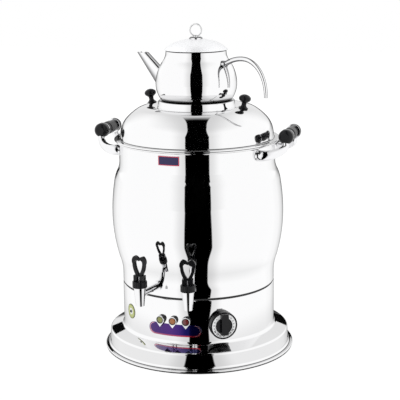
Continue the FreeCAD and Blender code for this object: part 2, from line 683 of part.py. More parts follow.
def cut(name, base, tools):
    """A solid with others taken away."""
    thing = add("Part::Cut", name)
    thing.Base = base
    thing.Tool = tools[0] if len(tools) == 1 else fused(name + "_tools", tools)
    return thing


def shared(name, base, tool):
    """What two solids have in common."""
    thing = add("Part::Common", name)
    thing.Base = base
    thing.Tool = tool
    return thing


def group(name, pieces):
    """Separate solids that share one node."""
    thing = add("Part::Compound", name)
    thing.Links = pieces
    return thing


def shaped(name, shape):
    """A document object whose shape Part's own functions made."""
    thing = add("Part::Feature", name)
    thing.Shape = shape
    return thing


nodes = []
hex_nuts = []
inner_seals = []
handle_trim = []


def keep(thing, label=None):
    """List a finished sub-part under its own label."""
    thing.Label = label or thing.Name
    nodes.append(thing)
    return thing


# Forms without a sketch: tapered bars and tubes through elliptical sections

def ellipse(centre, along, side, side_radius, other_radius):
    """Elliptical wire of four arcs, square to a direction, with one axis near the side vector."""
    along = Vector(along).normalize()
    across = (side - along * side.dot(along)).normalize() * side_radius
    other = along.cross(across).normalize() * other_radius
    pull = 4 / 3 * math.tan(math.pi / 8)
    edges = []
    for start, end in ((across, other), (other, across * -1), (across * -1, other * -1),
                       (other * -1, across)):
        arc = Part.BezierCurve()
        arc.setPoles([centre + start, centre + start + end * pull,
                      centre + end + start * pull, centre + end])
        edges.append(arc.toShape())
    return Part.Wire(edges)


def bezier_point(points, t):
    """Point and direction on a cubic curve."""
    a, b, c, d = points
    u = 1 - t
    place = a * u ** 3 + b * (3 * u * u * t) + c * (3 * u * t * t) + d * t ** 3
    way = (b - a) * (3 * u * u) + (c - b) * (6 * u * t) + (d - c) * (3 * t * t)
    return place, way


def tapered_bar(points, side, start, end):
    """Solid bar along a cubic curve, between two elliptical ends given as (side, other) radii."""
    curve = Part.BezierCurve()
    curve.setPoles(points)
    shell = Part.BRepOffsetAPI.MakePipeShell(Part.Wire([curve.toShape()]))
    for t, radii in ((0, start), (1, end)):
        place, way = bezier_point(points, t)
        shell.add(ellipse(place, way, side, *radii))
    shell.build()
    shell.makeSolid()
    return shell.shape()


# Solids that only trim others

def form_of(name, outline):
    """Solid of revolution inside an outline, down to the axis."""
    low = (0, outline[0][1])
    high = (0, outline[-1][1])
    return turned(name, [low, outline[0][:2]] + list(outline[1:]) + [high])


# The base

def base_outline():
    """Outer line of the base shell, from the rim's lip to the seam flange."""
    bead_top = size.foot_height + 2 * size.rim_bead
    shoulder = size.skirt_radius - size.skirt_taper
    edge_foot = size.shoulder_height - size.shoulder_bend
    sine, cosine = slope_of(size.shoulder_angle)
    side = 1 - sine
    bends = size.shoulder_bend + size.housing_bend
    run = shoulder - size.housing_radius - bends * side
    cove_top = edge_foot + bends * cosine + run * sine / cosine
    return [
        (size.rim_radius - size.rim_lip, size.foot_height),
        (size.rim_radius - size.rim_bead, size.foot_height),
        (size.rim_radius, size.foot_height + size.rim_bead, size.rim_bead),
        (size.rim_radius - size.rim_bead, bead_top, size.rim_bead),
        (size.skirt_radius + size.skirt_flare, bead_top),
        (size.skirt_radius, bead_top + size.skirt_flare, -size.skirt_flare),
        (shoulder, edge_foot),
        (shoulder - size.shoulder_bend * side, edge_foot + size.shoulder_bend * cosine,
         size.shoulder_bend),
        (size.housing_radius + size.housing_bend * side, cove_top - size.housing_bend * cosine),
        (size.housing_radius, cove_top, -size.housing_bend),
        (size.housing_radius, size.housing_top - size.housing_corner),
        (size.housing_radius - size.housing_corner, size.housing_top, size.housing_corner),
        (size.seat_inner, size.housing_top),
    ]


def lamp_azimuths():
    """Azimuths of the three lamps."""
    return [size.lamp_azimuth + size.lamp_angle * step for step in (-1, 0, 1)]


def make_base():
    """Spun base shell with its holes, rubber ring, bottom cover, studs and nuts."""
    shell = spun("base_spinning", base_outline(), size.base_sheet)
    start = size.housing_radius - size.base_sheet * 4
    through = size.base_sheet * 8
    holes = []
    for index, azimuth in enumerate(lamp_azimuths()):
        place = facing_out(azimuth, start, size.lamp_height)
        holes.append(cylinder("lamp_hole_%d" % index, size.lens_stem + size.gap, through, place))
    place = facing_out(size.dial_azimuth, start, size.dial_height)
    holes.append(cylinder("shaft_hole", size.dial_shaft + 1, through, place))
    place = facing_out(180, start, size.gland_height)
    holes.append(cylinder("gland_hole", size.gland_thread + size.fit, through, place))
    place = facing_out(size.disc_azimuth, start, size.disc_height)
    holes.append(cylinder("disc_hole", size.disc_screw + size.fit, through, place))
    keep(cut("base_shell", shell, holes))

    lip_outer = size.rim_radius - size.rim_lip - size.fit
    lip_inner = lip_outer - size.foot_lip_wall
    ring_outer = size.rim_radius - size.rim_bead / 2
    lip_top = size.foot_height + 2 * size.rim_bead - size.base_sheet - size.gap
    keep(turned("foot_ring", [
        (lip_inner, 0),
        (ring_outer, 0),
        (ring_outer, size.foot_height - size.fit),
        (lip_outer, size.foot_height - size.fit),
        (lip_outer, lip_top),
        (lip_inner, lip_top),
    ]))

    gasket_outer = size.tank_radius - size.gasket_set_back
    keep(turned("seam_gasket", [
        (size.seat_inner, size.housing_top + size.fit),
        (gasket_outer, size.housing_top + size.fit),
        (gasket_outer, tank_foot - size.fit),
        (size.seat_inner, tank_foot - size.fit),
    ]))


def cover_radius():
    """Radius at which the bottom cover's top edge meets the inside of the flare."""
    bead_top = size.foot_height + 2 * size.rim_bead
    inner_bend = size.skirt_flare + size.base_sheet
    rise = bead_top + size.skirt_flare - size.cover_top
    return size.skirt_radius + size.skirt_flare - chord_reach(inner_bend, rise) - size.gap / 2


def make_cover():
    """Bottom cover: a padded disc with stud holes and vents, both patterned."""
    body = add("PartDesign::Body", "bottom_cover")
    sketch = sketch_in(body, "XY_Plane")
    draw_circle(sketch, 0, 0, cover_radius())
    pad = body.newObject("PartDesign::Pad", "cover_pad")
    pad.Profile = sketch
    bind(pad, "Length", size.cover_sheet)
    diagonal = math.sqrt(0.5)
    for name, x, y, radius, count in (
            ("stud", size.stud_ring * diagonal, size.stud_ring * diagonal,
             size.stud_radius + size.fit, 4),
            ("vent", size.cover_vent_ring, 0, size.cover_vent, 10)):
        hole = sketch_in(body, "XY_Plane")
        draw_circle(hole, x, y, radius)
        pocket = body.newObject("PartDesign::Pocket", name + "_pocket")
        pocket.Profile = hole
        pocket.Reversed = True
        pocket.Type = "ThroughAll"
        pattern = body.newObject("PartDesign::PolarPattern", name + "_pattern")
        pattern.Originals = [pocket]
        pattern.Axis = (hole, ["N_Axis"])
        pattern.Angle = 360
        pattern.Occurrences = count
        body.Tip = pattern
    body.Placement = at(0, 0, size.cover_top - size.cover_sheet)
    keep(body)


def make_ties():
    """Tie studs under the tank floor and the nuts that pull the base together."""
    studs = []
    nut_under = size.cover_top - size.cover_sheet - size.fit - size.nut_height
    stud_foot = nut_under - 1
    corner = size.nut_size / (2 * math.cos(math.pi / 6))
    for index in range(4):
        azimuth = 45 + 90 * index
        place = standing(azimuth, size.stud_ring, stud_foot)
        studs.append(cylinder("stud_%d" % index, size.stud_radius, floor_under - stud_foot, place))
        place = standing(azimuth, size.stud_ring, nut_under)
        blank = prism("nut_blank_%d" % index, 6, corner, size.nut_height, place)
        bore = cylinder("nut_bore_%d" % index, size.stud_radius + size.fit, size.nut_height, place)
        hex_nuts.append(cut("nut_%d" % index, blank, [bore]))
    keep(group("tie_studs", studs))


# The tank

def tank_outline():
    """Outer line of the tank wall, from its foot lip to the rolled mouth."""
    mouth = size.neck_radius + size.mouth_overhang
    bead_foot = size.mouth_height - 2 * size.mouth_bead
    return [
        (size.seat_inner, tank_foot),
        (size.tank_radius - size.tank_corner, tank_foot),
        (size.tank_radius, tank_foot + size.tank_corner, size.tank_corner),
        (size.tank_radius, size.belly_start),
        (size.hollow_end_radius, size.hollow_end, -size.hollow_bend),
        (size.belly_radius, size.belly_height, size.lower_bend),
        (size.upper_radius, size.upper_height, size.upper_bend),
        (size.shoulder_in_radius, size.shoulder_in_height, size.shoulder_in_bend),
        (size.neck_radius, size.neck_start, -size.neck_bend),
        (size.neck_radius, bead_foot - size.mouth_bend),
        (size.neck_radius + size.mouth_bend, bead_foot, -size.mouth_bend),
        (mouth - size.mouth_bead, bead_foot),
        (mouth, size.mouth_height - size.mouth_bead, size.mouth_bead),
        (mouth - size.mouth_bead, size.mouth_height, size.mouth_bead),
        (mouth - 2 * size.mouth_bead, size.mouth_height),
    ]


def tap_azimuths():
    """Azimuths of the left and right taps."""
    return {"left": size.tap_turn - size.tap_azimuth, "right": size.tap_turn + size.tap_azimuth}


def arm_azimuths():
    """Azimuths of the four handle arms, with the side that each belongs to."""
    return [(side, middle, middle + turn * size.arm_angle)
            for side, middle in (("left", -90), ("right", 90)) for turn in (-1, 1)]


def make_tank():
    """Tank wall with its holes, and the floor with the element's and the bulb's holes."""
    wall = spun("tank_spinning", tank_outline(), size.tank_sheet)
    through = size.tank_sheet * 10
    holes = []
    for side, azimuth in tap_azimuths().items():
        place = facing_out(azimuth, size.tank_radius - size.tank_sheet * 4, size.tap_height)
        holes.append(cylinder("tap_hole_" + side, size.shank_radius + size.fit, through, place))
    for index, (side, middle, azimuth) in enumerate(arm_azimuths()):
        place = facing_out(azimuth, size.neck_radius - size.tank_sheet * 4, size.arm_height)
        holes.append(cylinder("arm_hole_%d" % index, size.arm_bolt + size.fit, through, place))
    keep(cut("tank_wall", wall, holes))

    radius = size.tank_radius - size.tank_corner
    disc = cylinder("floor_disc", radius, size.floor_sheet, at(0, 0, floor_under))
    holes = []
    for index, (x, y) in enumerate(element_legs()):
        place = at(x, y, floor_under - 1)
        holes.append(cylinder("bush_hole_%d" % index, size.element_bush + size.fit,
                              size.floor_sheet + 2, place))
    place = standing(size.dial_azimuth, size.bulb_reach, floor_under - 1)
    holes.append(cylinder("bulb_hole", size.bulb_radius + size.fit, size.floor_sheet + 2, place))
    keep(cut("tank_floor", disc, holes))


def element_legs():
    """Where the heating element's two ends pass the tank floor."""
    turn = math.radians(float(size.element_angle))
    ring = float(size.element_ring)
    bend = float(size.element_bend)
    legs = []
    for side in (1, -1):
        x = side * (ring * math.sin(turn) - bend * math.cos(turn))
        y = ring * math.cos(turn) + bend * math.sin(turn)
        legs.append((x, y))
    return legs


def make_element():
    """Tubular heating element: one open ring above the floor with both ends bent down."""
    turn = math.radians(float(size.element_angle))
    ring = float(size.element_ring)
    bend = float(size.element_bend)
    top = float(floor_top + size.element_rise)
    foot = float(floor_under - size.element_tail)
    right, left = [Vector(x, y, 0) for x, y in element_legs()]
    edges = []
    for leg, side in ((right, 1), (left, -1)):
        end = Vector(side * ring * math.sin(turn), ring * math.cos(turn), top)
        corner = leg + Vector(0, 0, top)
        low = leg + Vector(0, 0, top - bend)
        centre = end - Vector(0, 0, bend)
        middle = centre + ((corner - end).normalize() + Vector(0, 0, 1)) * (bend * math.sqrt(0.5))
        edges.append((Part.LineSegment(leg + Vector(0, 0, foot), low), Part.Arc(low, middle, end)))
    start = Vector(ring * math.sin(turn), ring * math.cos(turn), top)
    finish = Vector(-start.x, start.y, top)
    loop = Part.Arc(start, Vector(0, -ring, top), finish)
    path = Part.Wire([piece.toShape() for piece in edges[0]] + [loop.toShape()]
                     + [piece.toShape() for piece in reversed(edges[1])])
    foot_circle = Part.Circle(right + Vector(0, 0, foot), Vector(0, 0, 1), float(size.element_tube))
    tube = path.makePipeShell([Part.Wire([foot_circle.toShape()])], True, False)
    keep(shaped("heating_element", tube))

    bushes = []
    nut_height = size.nut_height
    for index, (x, y) in enumerate(element_legs()):
        bush = turned("bush_%d" % index, [
            (size.element_tube + size.fit, floor_under - 2 * nut_height),
            (size.element_bush, floor_under - 2 * nut_height),
            (size.element_bush, floor_top + size.fit),
            (size.element_bush_head, floor_top + size.fit),
            (size.element_bush_head, floor_top + nut_height),
            (size.element_tube + size.fit, floor_top + nut_height),
        ], at(x, y, 0))
        bushes.append(bush)
        place = at(x, y, floor_under - size.fit - nut_height)
        blank = prism("bush_nut_blank_%d" % index, 6, size.element_bush_head + 1, nut_height, place)
        bore = cylinder("bush_nut_bore_%d" % index, size.element_bush + size.fit, nut_height, place)
        hex_nuts.append(cut("bush_nut_%d" % index, blank, [bore]))
    keep(group("element_bushes", bushes))


# The thermostat and what else the base holds

def make_thermostat():
    """Thermostat with its bracket and bulb, and the knob with its shaft and dial ring."""
    front = size.thermostat_reach + size.bracket_sheet
    frame = facing_out(size.dial_azimuth, 0, size.dial_height)
    half = size.thermostat_width / 2
    case = block("thermostat_case", size.thermostat_width, size.thermostat_width,
                 size.thermostat_depth, frame,
                 (-half, -half, size.thermostat_reach - size.thermostat_depth - size.fit))
    bush_foot = size.thermostat_reach - size.fit * 2
    bush_length = size.bracket_sheet + size.nut_height
    place = facing_out(size.dial_azimuth, bush_foot, size.dial_height)
    bush = cylinder("thermostat_bush", size.bush_radius, bush_length, place)
    bore_foot = bush_foot - size.nut_height
    place = facing_out(size.dial_azimuth, bore_foot, size.dial_height)
    bore = cylinder("thermostat_bore", size.dial_shaft + size.fit,
                    bush_length + size.nut_height + 1, place)
    keep(cut("thermostat_body", fused("thermostat_blank", [case, bush]), [bore]))

    inner = size.housing_radius - size.base_sheet
    leg = chord_reach(inner, size.bracket_half) - size.gap
    plate = padded("bracket_blank", "XZ_Plane", [[
        (-size.bracket_half, leg),
        (-size.bracket_half, size.thermostat_reach),
        (size.bracket_half, size.thermostat_reach),
        (size.bracket_half, leg),
        (size.bracket_half - size.bracket_sheet, leg),
        (size.bracket_half - size.bracket_sheet, front),
        (size.bracket_sheet - size.bracket_half, front),
        (size.bracket_sheet - size.bracket_half, leg),
    ]], size.bracket_tall, frame)
    place = facing_out(size.dial_azimuth, size.thermostat_reach - 1, size.dial_height)
    hole = cylinder("bracket_hole", size.bush_radius + size.fit, size.bracket_sheet + 2, place)
    keep(cut("thermostat_bracket", plate, [hole]))

    case_top = size.dial_height + half + size.fit
    bulb_top = floor_top + size.bulb_rise
    keep(turned("thermostat_bulb", [
        (0, case_top),
        (size.capillary_radius, case_top),
        (size.capillary_radius, floor_under - size.nut_height),
        (2 * size.bulb_radius, floor_under - size.nut_height),
        (2 * size.bulb_radius, floor_under - size.fit),
        (size.bulb_radius, floor_under - size.fit),
        (size.bulb_radius, bulb_top),
        (0, bulb_top),
    ], standing(size.dial_azimuth, size.bulb_reach, 0)))

    start = size.housing_radius + size.dial_gap
    place = facing_out(size.dial_azimuth, start, size.dial_height)
    hole_depth = size.dial_shaft_in_knob + size.fit
    recess = size.dial_drum - size.dial_ring_thick - size.fit
    drum = turned("knob_drum", [
        (0, hole_depth),
        (size.dial_shaft + size.fit, hole_depth),
        (size.dial_shaft + size.fit, 0),
        (size.dial_radius, 0),
        (size.dial_radius, size.dial_drum),
        (size.dial_ring_outer + size.fit, size.dial_drum),
        (size.dial_ring_outer + size.fit, recess),
        (size.dial_ring_inner - size.fit, recess),
        (size.dial_ring_inner - size.fit, size.dial_drum + size.hub_rise),
        (0, size.dial_drum + size.hub_rise),
    ], place)
    bar = block("knob_bar", size.bar_wide, size.bar_up + size.dial_ring_inner, size.bar_rise, place,
                (-size.bar_wide / 2, size.fit - size.dial_ring_inner, size.dial_drum))
    keep(fused("thermostat_knob", [drum, bar]))

    place = facing_out(size.dial_azimuth, start + recess + size.fit, size.dial_height)
    keep(padded("thermostat_dial", "XY_Plane", [
        ("circle", 0, 0, size.dial_ring_outer),
        ("circle", 0, 0, size.dial_ring_inner),
    ], size.dial_ring_thick - size.fit, place, middle=False))

    foot = bore_foot + size.fit
    place = facing_out(size.dial_azimuth, foot, size.dial_height)
    length = start + size.dial_shaft_in_knob - foot
    keep(cylinder("thermostat_shaft", size.dial_shaft, length, place))


def make_fittings():
    """Dry-boil cutout, terminal block, and the cable gland with its nut."""
    under = floor_under - size.fit
    keep(turned("dry_boil_cutout", [
        (0, under - size.cutout_height),
        (size.cutout_radius * 0.6, under - size.cutout_height),
        (size.cutout_radius * 0.6, under - size.cutout_height / 2),
        (size.cutout_radius, under - size.cutout_height / 2),
        (size.cutout_radius, under),
        (0, under),
    ]))

    frame = at(0, 0, size.cover_top + size.fit)
    low = (-size.block_length / 2, size.block_reach, 0)
    blank = block("terminal_blank", size.block_length, size.block_width, size.block_height, frame, low)
    wells = []
    for index in (-1, 0, 1):
        place = at(size.block_length / 3.4 * index, size.block_reach + size.block_width / 2,
                   size.cover_top + size.block_height / 2)
        wells.append(cylinder("terminal_well_%d" % (index + 1), size.block_width / 6,
                              size.block_height, place))
    keep(cut("terminal_block", blank, wells))

    face = size.housing_radius + size.fit
    inner = size.housing_radius - size.base_sheet
    behind = chord_reach(inner, size.gland_radius) - size.fit
    place = facing_out(180, 0, size.gland_height)
    keep(turned("cable_gland", [
        (size.gland_throat, behind - size.gland_inside),
        (size.gland_thread, behind - size.gland_inside),
        (size.gland_thread, face),
        (size.gland_radius + 1, face),
        (size.gland_radius + 1, face + size.gland_length * 0.4),
        (size.gland_radius, face + size.gland_length * 0.4),
        (size.gland_bore + 2, face + size.gland_length, size.gland_length),
        (size.gland_bore, face + size.gland_length),
        (size.gland_bore, face + size.gland_length * 0.4),
        (size.gland_throat, face + size.gland_length * 0.4),
    ], place))
    place = facing_out(180, behind - size.nut_height, size.gland_height)
    blank = prism("gland_nut_blank", 6, size.gland_radius, size.nut_height, place)
    bore = cylinder("gland_nut_bore", size.gland_thread + size.fit, size.nut_height, place)
    hex_nuts.append(cut("gland_nut", blank, [bore]))


# Lamps and plates

def make_lamps():
    """Three lamps: lenses, drop-shaped bezels on black collars, and the holders behind them."""
    face = size.housing_radius + size.panel_sheet + size.fit * 2
    inner = chord_reach(size.housing_radius - size.base_sheet, size.holder_radius) - size.fit
    lens_back = face + size.lamp_collar_depth / 2
    lens_front = face + size.lamp_collar_depth + size.bezel_depth
    bezels = []
    holders = []
    for colour, azimuth in zip(("green", "amber", "red"), lamp_azimuths()):
        axis = facing_out(azimuth, 0, size.lamp_height)
        seat = inner - size.holder_length / 4
        keep(turned("lamp_lens_" + colour, [
            (0, seat + size.fit),
            (size.lens_stem, seat + size.fit),
            (size.lens_stem, lens_back),
            (size.lens_radius, lens_back),
            (size.lens_radius, lens_front - size.lens_dome),
            (0, lens_front, dome(size.lens_radius, size.lens_dome)),
        ], axis))
        low = size.bezel_radius * size.bezel_radius / size.bezel_point
        wide = chord_reach(size.bezel_radius, low)
        drop = [
            (0, -size.bezel_point),
            (wide, -low),
            (0, size.bezel_radius, size.bezel_radius),
            (-wide, -low, size.bezel_radius),
        ]
        start = face
        for name, depth, pieces in (("lamp_collar_", size.lamp_collar_depth, holders),
                                    ("bezel_", size.bezel_depth, bezels)):
            back = facing_out(azimuth, start, size.lamp_height)
            blank = padded(name + "blank_" + colour, "XY_Plane", [drop], depth, back, middle=False)
            bore = cylinder(name + "bore_" + colour, size.lens_radius + size.fit, depth, back)
            pieces.append(cut(name + colour, blank, [bore]))
            start = start + depth
        holders.append(turned("holder_" + colour, [
            (0, inner - size.holder_length),
            (size.holder_radius, inner - size.holder_length),
            (size.holder_radius, inner),
            (size.lens_stem + size.fit, inner),
            (size.lens_stem + size.fit, seat),
            (0, seat),
        ], axis))
    keep(group("lamp_bezels", bezels))
    keep(group("lamp_holders", holders))


def curved_plate(name, radius, azimuth, height, outline):
    """Thin plate that follows a wall: a ring cut to an outline seen from outside."""
    tall = size.panel_tall * 2
    ring = turned(name + "_ring", [
        (radius + size.fit, height - tall),
        (radius + size.panel_sheet, height - tall),
        (radius + size.panel_sheet, height + tall),
        (radius + size.fit, height + tall),
    ])
    start = radius / 2
    stamp = padded(name + "_stamp", "XY_Plane", outline, radius, facing_out(azimuth, start, height),
                   middle=False)
    return shared(name, ring, stamp)


def make_plates():
    """Lamp panel, blank plate on the neck, and the round disc with its screw."""
    half = half_chord(size.housing_radius, size.panel_length)
    end = size.panel_tall / 2
    keep(curved_plate("lamp_panel", size.housing_radius, size.panel_azimuth, size.panel_height, [[
        (end - half, -end, end),
        (half - end, -end),
        (half, 0, end),
        (half - end, end, end),
        (end - half, end),
        (-half, 0, end),
    ]]))
    wide = size.plate_length / 2
    tall = size.plate_tall / 2
    bend = size.plate_corner
    keep(curved_plate("blank_plate", size.neck_radius, size.plate_azimuth, size.plate_height, [[
        (bend - wide, -tall, bend),
        (wide - bend, -tall),
        (wide, bend - tall, bend),
        (wide, tall - bend),
        (wide - bend, tall, bend),
        (bend - wide, tall),
        (-wide, tall - bend, bend),
        (-wide, bend - tall),
    ]]))
    keep(curved_plate("side_disc", size.housing_radius, size.disc_azimuth, size.disc_height, [
        ("circle", 0, 0, size.disc_radius),
        ("circle", 0, 0, size.disc_screw + size.fit),
    ]))
    face = size.housing_radius + size.panel_sheet + size.fit
    place = facing_out(size.disc_azimuth, 0, size.disc_height)
    keep(turned("side_disc_screw", [
        (0, face - size.nut_height * 2),
        (size.disc_screw, face - size.nut_height * 2),
        (size.disc_screw, face),
        (size.disc_screw_head, face),
        (size.disc_screw_head * 0.6, face + size.disc_screw, size.disc_screw_head),
        (0, face + size.disc_screw),
    ], place))


# The side handles

def arm_curve(azimuth, side_sign, end_sign):
    """Centre curve of an arm: it leaves the neck squarely and rises into the grip."""
    outward, sideways = turn_about(azimuth)
    start = outward * float(size.neck_radius + size.rosette_thick + size.fit * 2)
    start = start + Vector(0, 0, float(size.arm_height))
    end = Vector(side_sign * float(size.grip_reach), end_sign * float(size.arm_spacing) / 2,
                 float(size.grip_height - size.grip_radius - size.gap))
    rise = float(end.z - start.z)
    return [start, start + outward * rise, end - Vector(0, 0, rise * 0.8), end], sideways


def make_handles():
    """Two side handles: four arms, rosettes, bolts with seals, grips and their rings."""
    bolts = []
    inner = size.neck_radius - size.tank_sheet
    arms = {"left": [], "right": []}
    for index, (side, middle, azimuth) in enumerate(arm_azimuths()):
        side_sign = 1 if side == "right" else -1
        outward, sideways = turn_about(azimuth)
        end_sign = 1 if outward.y > 0 else -1
        curve, across = arm_curve(azimuth, side_sign, end_sign)
        root = (float(size.arm_root_wide), float(size.arm_root_tall))
        tip = (float(size.arm_tip), float(size.arm_tip))
        overlap = Vector(0, 0, tip[0] * 0.2)
        peg = Part.makeCylinder(tip[0] - float(size.fit),
                                float(size.arm_socket + size.gap) + overlap.z, curve[3] - overlap)
        bar = tapered_bar(curve, across, root, tip).fuse(peg)
        depth = float(size.arm_bolt_depth)
        bore = Part.makeCylinder(float(size.arm_bolt + size.fit), depth + 1, curve[0] - outward,
                                 outward)
        arms[side].append(bar.cut(bore))
        place = facing_out(azimuth, size.neck_radius + size.fit, size.arm_height)
        blank = cone("rosette_blank_%d" % index, size.rosette_radius, size.rosette_radius - 1,
                     size.rosette_thick, place)
        hole = cylinder("rosette_hole_%d" % index, size.arm_bolt + size.fit, size.rosette_thick,
                        place)
        handle_trim.append(cut("rosette_%d" % index, blank, [hole]))
        face = chord_reach(inner, size.bolt_head_radius + 1) - size.fit
        axis = facing_out(azimuth, 0, size.arm_height)
        head = face - size.bolt_seal - size.fit
        end = size.neck_radius + size.rosette_thick + size.arm_bolt_depth - 1
        bolts.append(turned("arm_bolt_%d" % index, [
            (0, head - size.bolt_head_height),
            (size.bolt_head_radius, head - size.bolt_head_height),
            (size.bolt_head_radius, head),
            (size.arm_bolt, head),
            (size.arm_bolt, end),
            (0, end),
        ], axis))
        inner_seals.append(turned("arm_seal_%d" % index, [
            (size.arm_bolt + size.fit, face - size.bolt_seal),
            (size.bolt_head_radius + 1, face - size.bolt_seal),
            (size.bolt_head_radius + 1, face),
            (size.arm_bolt + size.fit, face),
        ], axis))
    for side in ("left", "right"):
        keep(shaped(side + "_handle_arms", Part.Compound(arms[side])))
    keep(group("handle_bolts", bolts))

    for side, side_sign in (("left", -1), ("right", 1)):
        place = FreeCAD.Placement(
            Vector(side_sign * float(size.grip_reach), 0, float(size.grip_height)),
            FreeCAD.Rotation(Vector(1, 0, 0), 90))
        drum_in = size.grip_half - size.grip_drum
        ring_in = drum_in - size.grip_ring - size.fit * 2
        edge = size.grip_radius * 0.45
        round_end = size.grip_radius * 0.6
        blank = turned(side + "_grip_blank", [
            (0, -size.grip_half),
            (size.grip_radius - edge, -size.grip_half),
            (size.grip_radius, round_end - size.grip_half, size.grip_radius * 0.75),
            (size.grip_radius, -drum_in),
            (size.grip_waist, -drum_in),
            (size.grip_waist, -ring_in / 2.4),
            (size.grip_rib, -ring_in / 3.2),
            (size.grip_rib, ring_in / 3.2),
            (size.grip_waist, ring_in / 2.4),
            (size.grip_waist, drum_in),
            (size.grip_radius, drum_in),
            (size.grip_radius, size.grip_half - round_end),
            (size.grip_radius - edge, size.grip_half, size.grip_radius * 0.75),
            (0, size.grip_half),
        ], place)
        sockets = []
        for end_sign in (-1, 1):
            foot = at(side_sign * size.grip_reach, end_sign * size.arm_spacing / 2,
                      size.grip_height - size.grip_radius * 1.5)
            sockets.append(cylinder("%s_socket_%d" % (side, end_sign + 1), size.arm_tip + size.gap,
                                    size.grip_radius / 2 + size.arm_socket + size.fit, foot))
            low = end_sign * drum_in if end_sign < 0 else drum_in - size.grip_ring - size.fit
            start = low + size.fit if end_sign < 0 else low
            handle_trim.append(turned("%s_ring_%d" % (side, end_sign + 1), [
                (size.grip_waist + size.fit, start),
                (size.grip_radius, start),
                (size.grip_radius, start + size.grip_ring),
                (size.grip_waist + size.fit, start + size.grip_ring),
            ], place))
        keep(cut(side + "_handle_grip", blank, sockets))
    keep(group("handle_trim", handle_trim))


# The taps

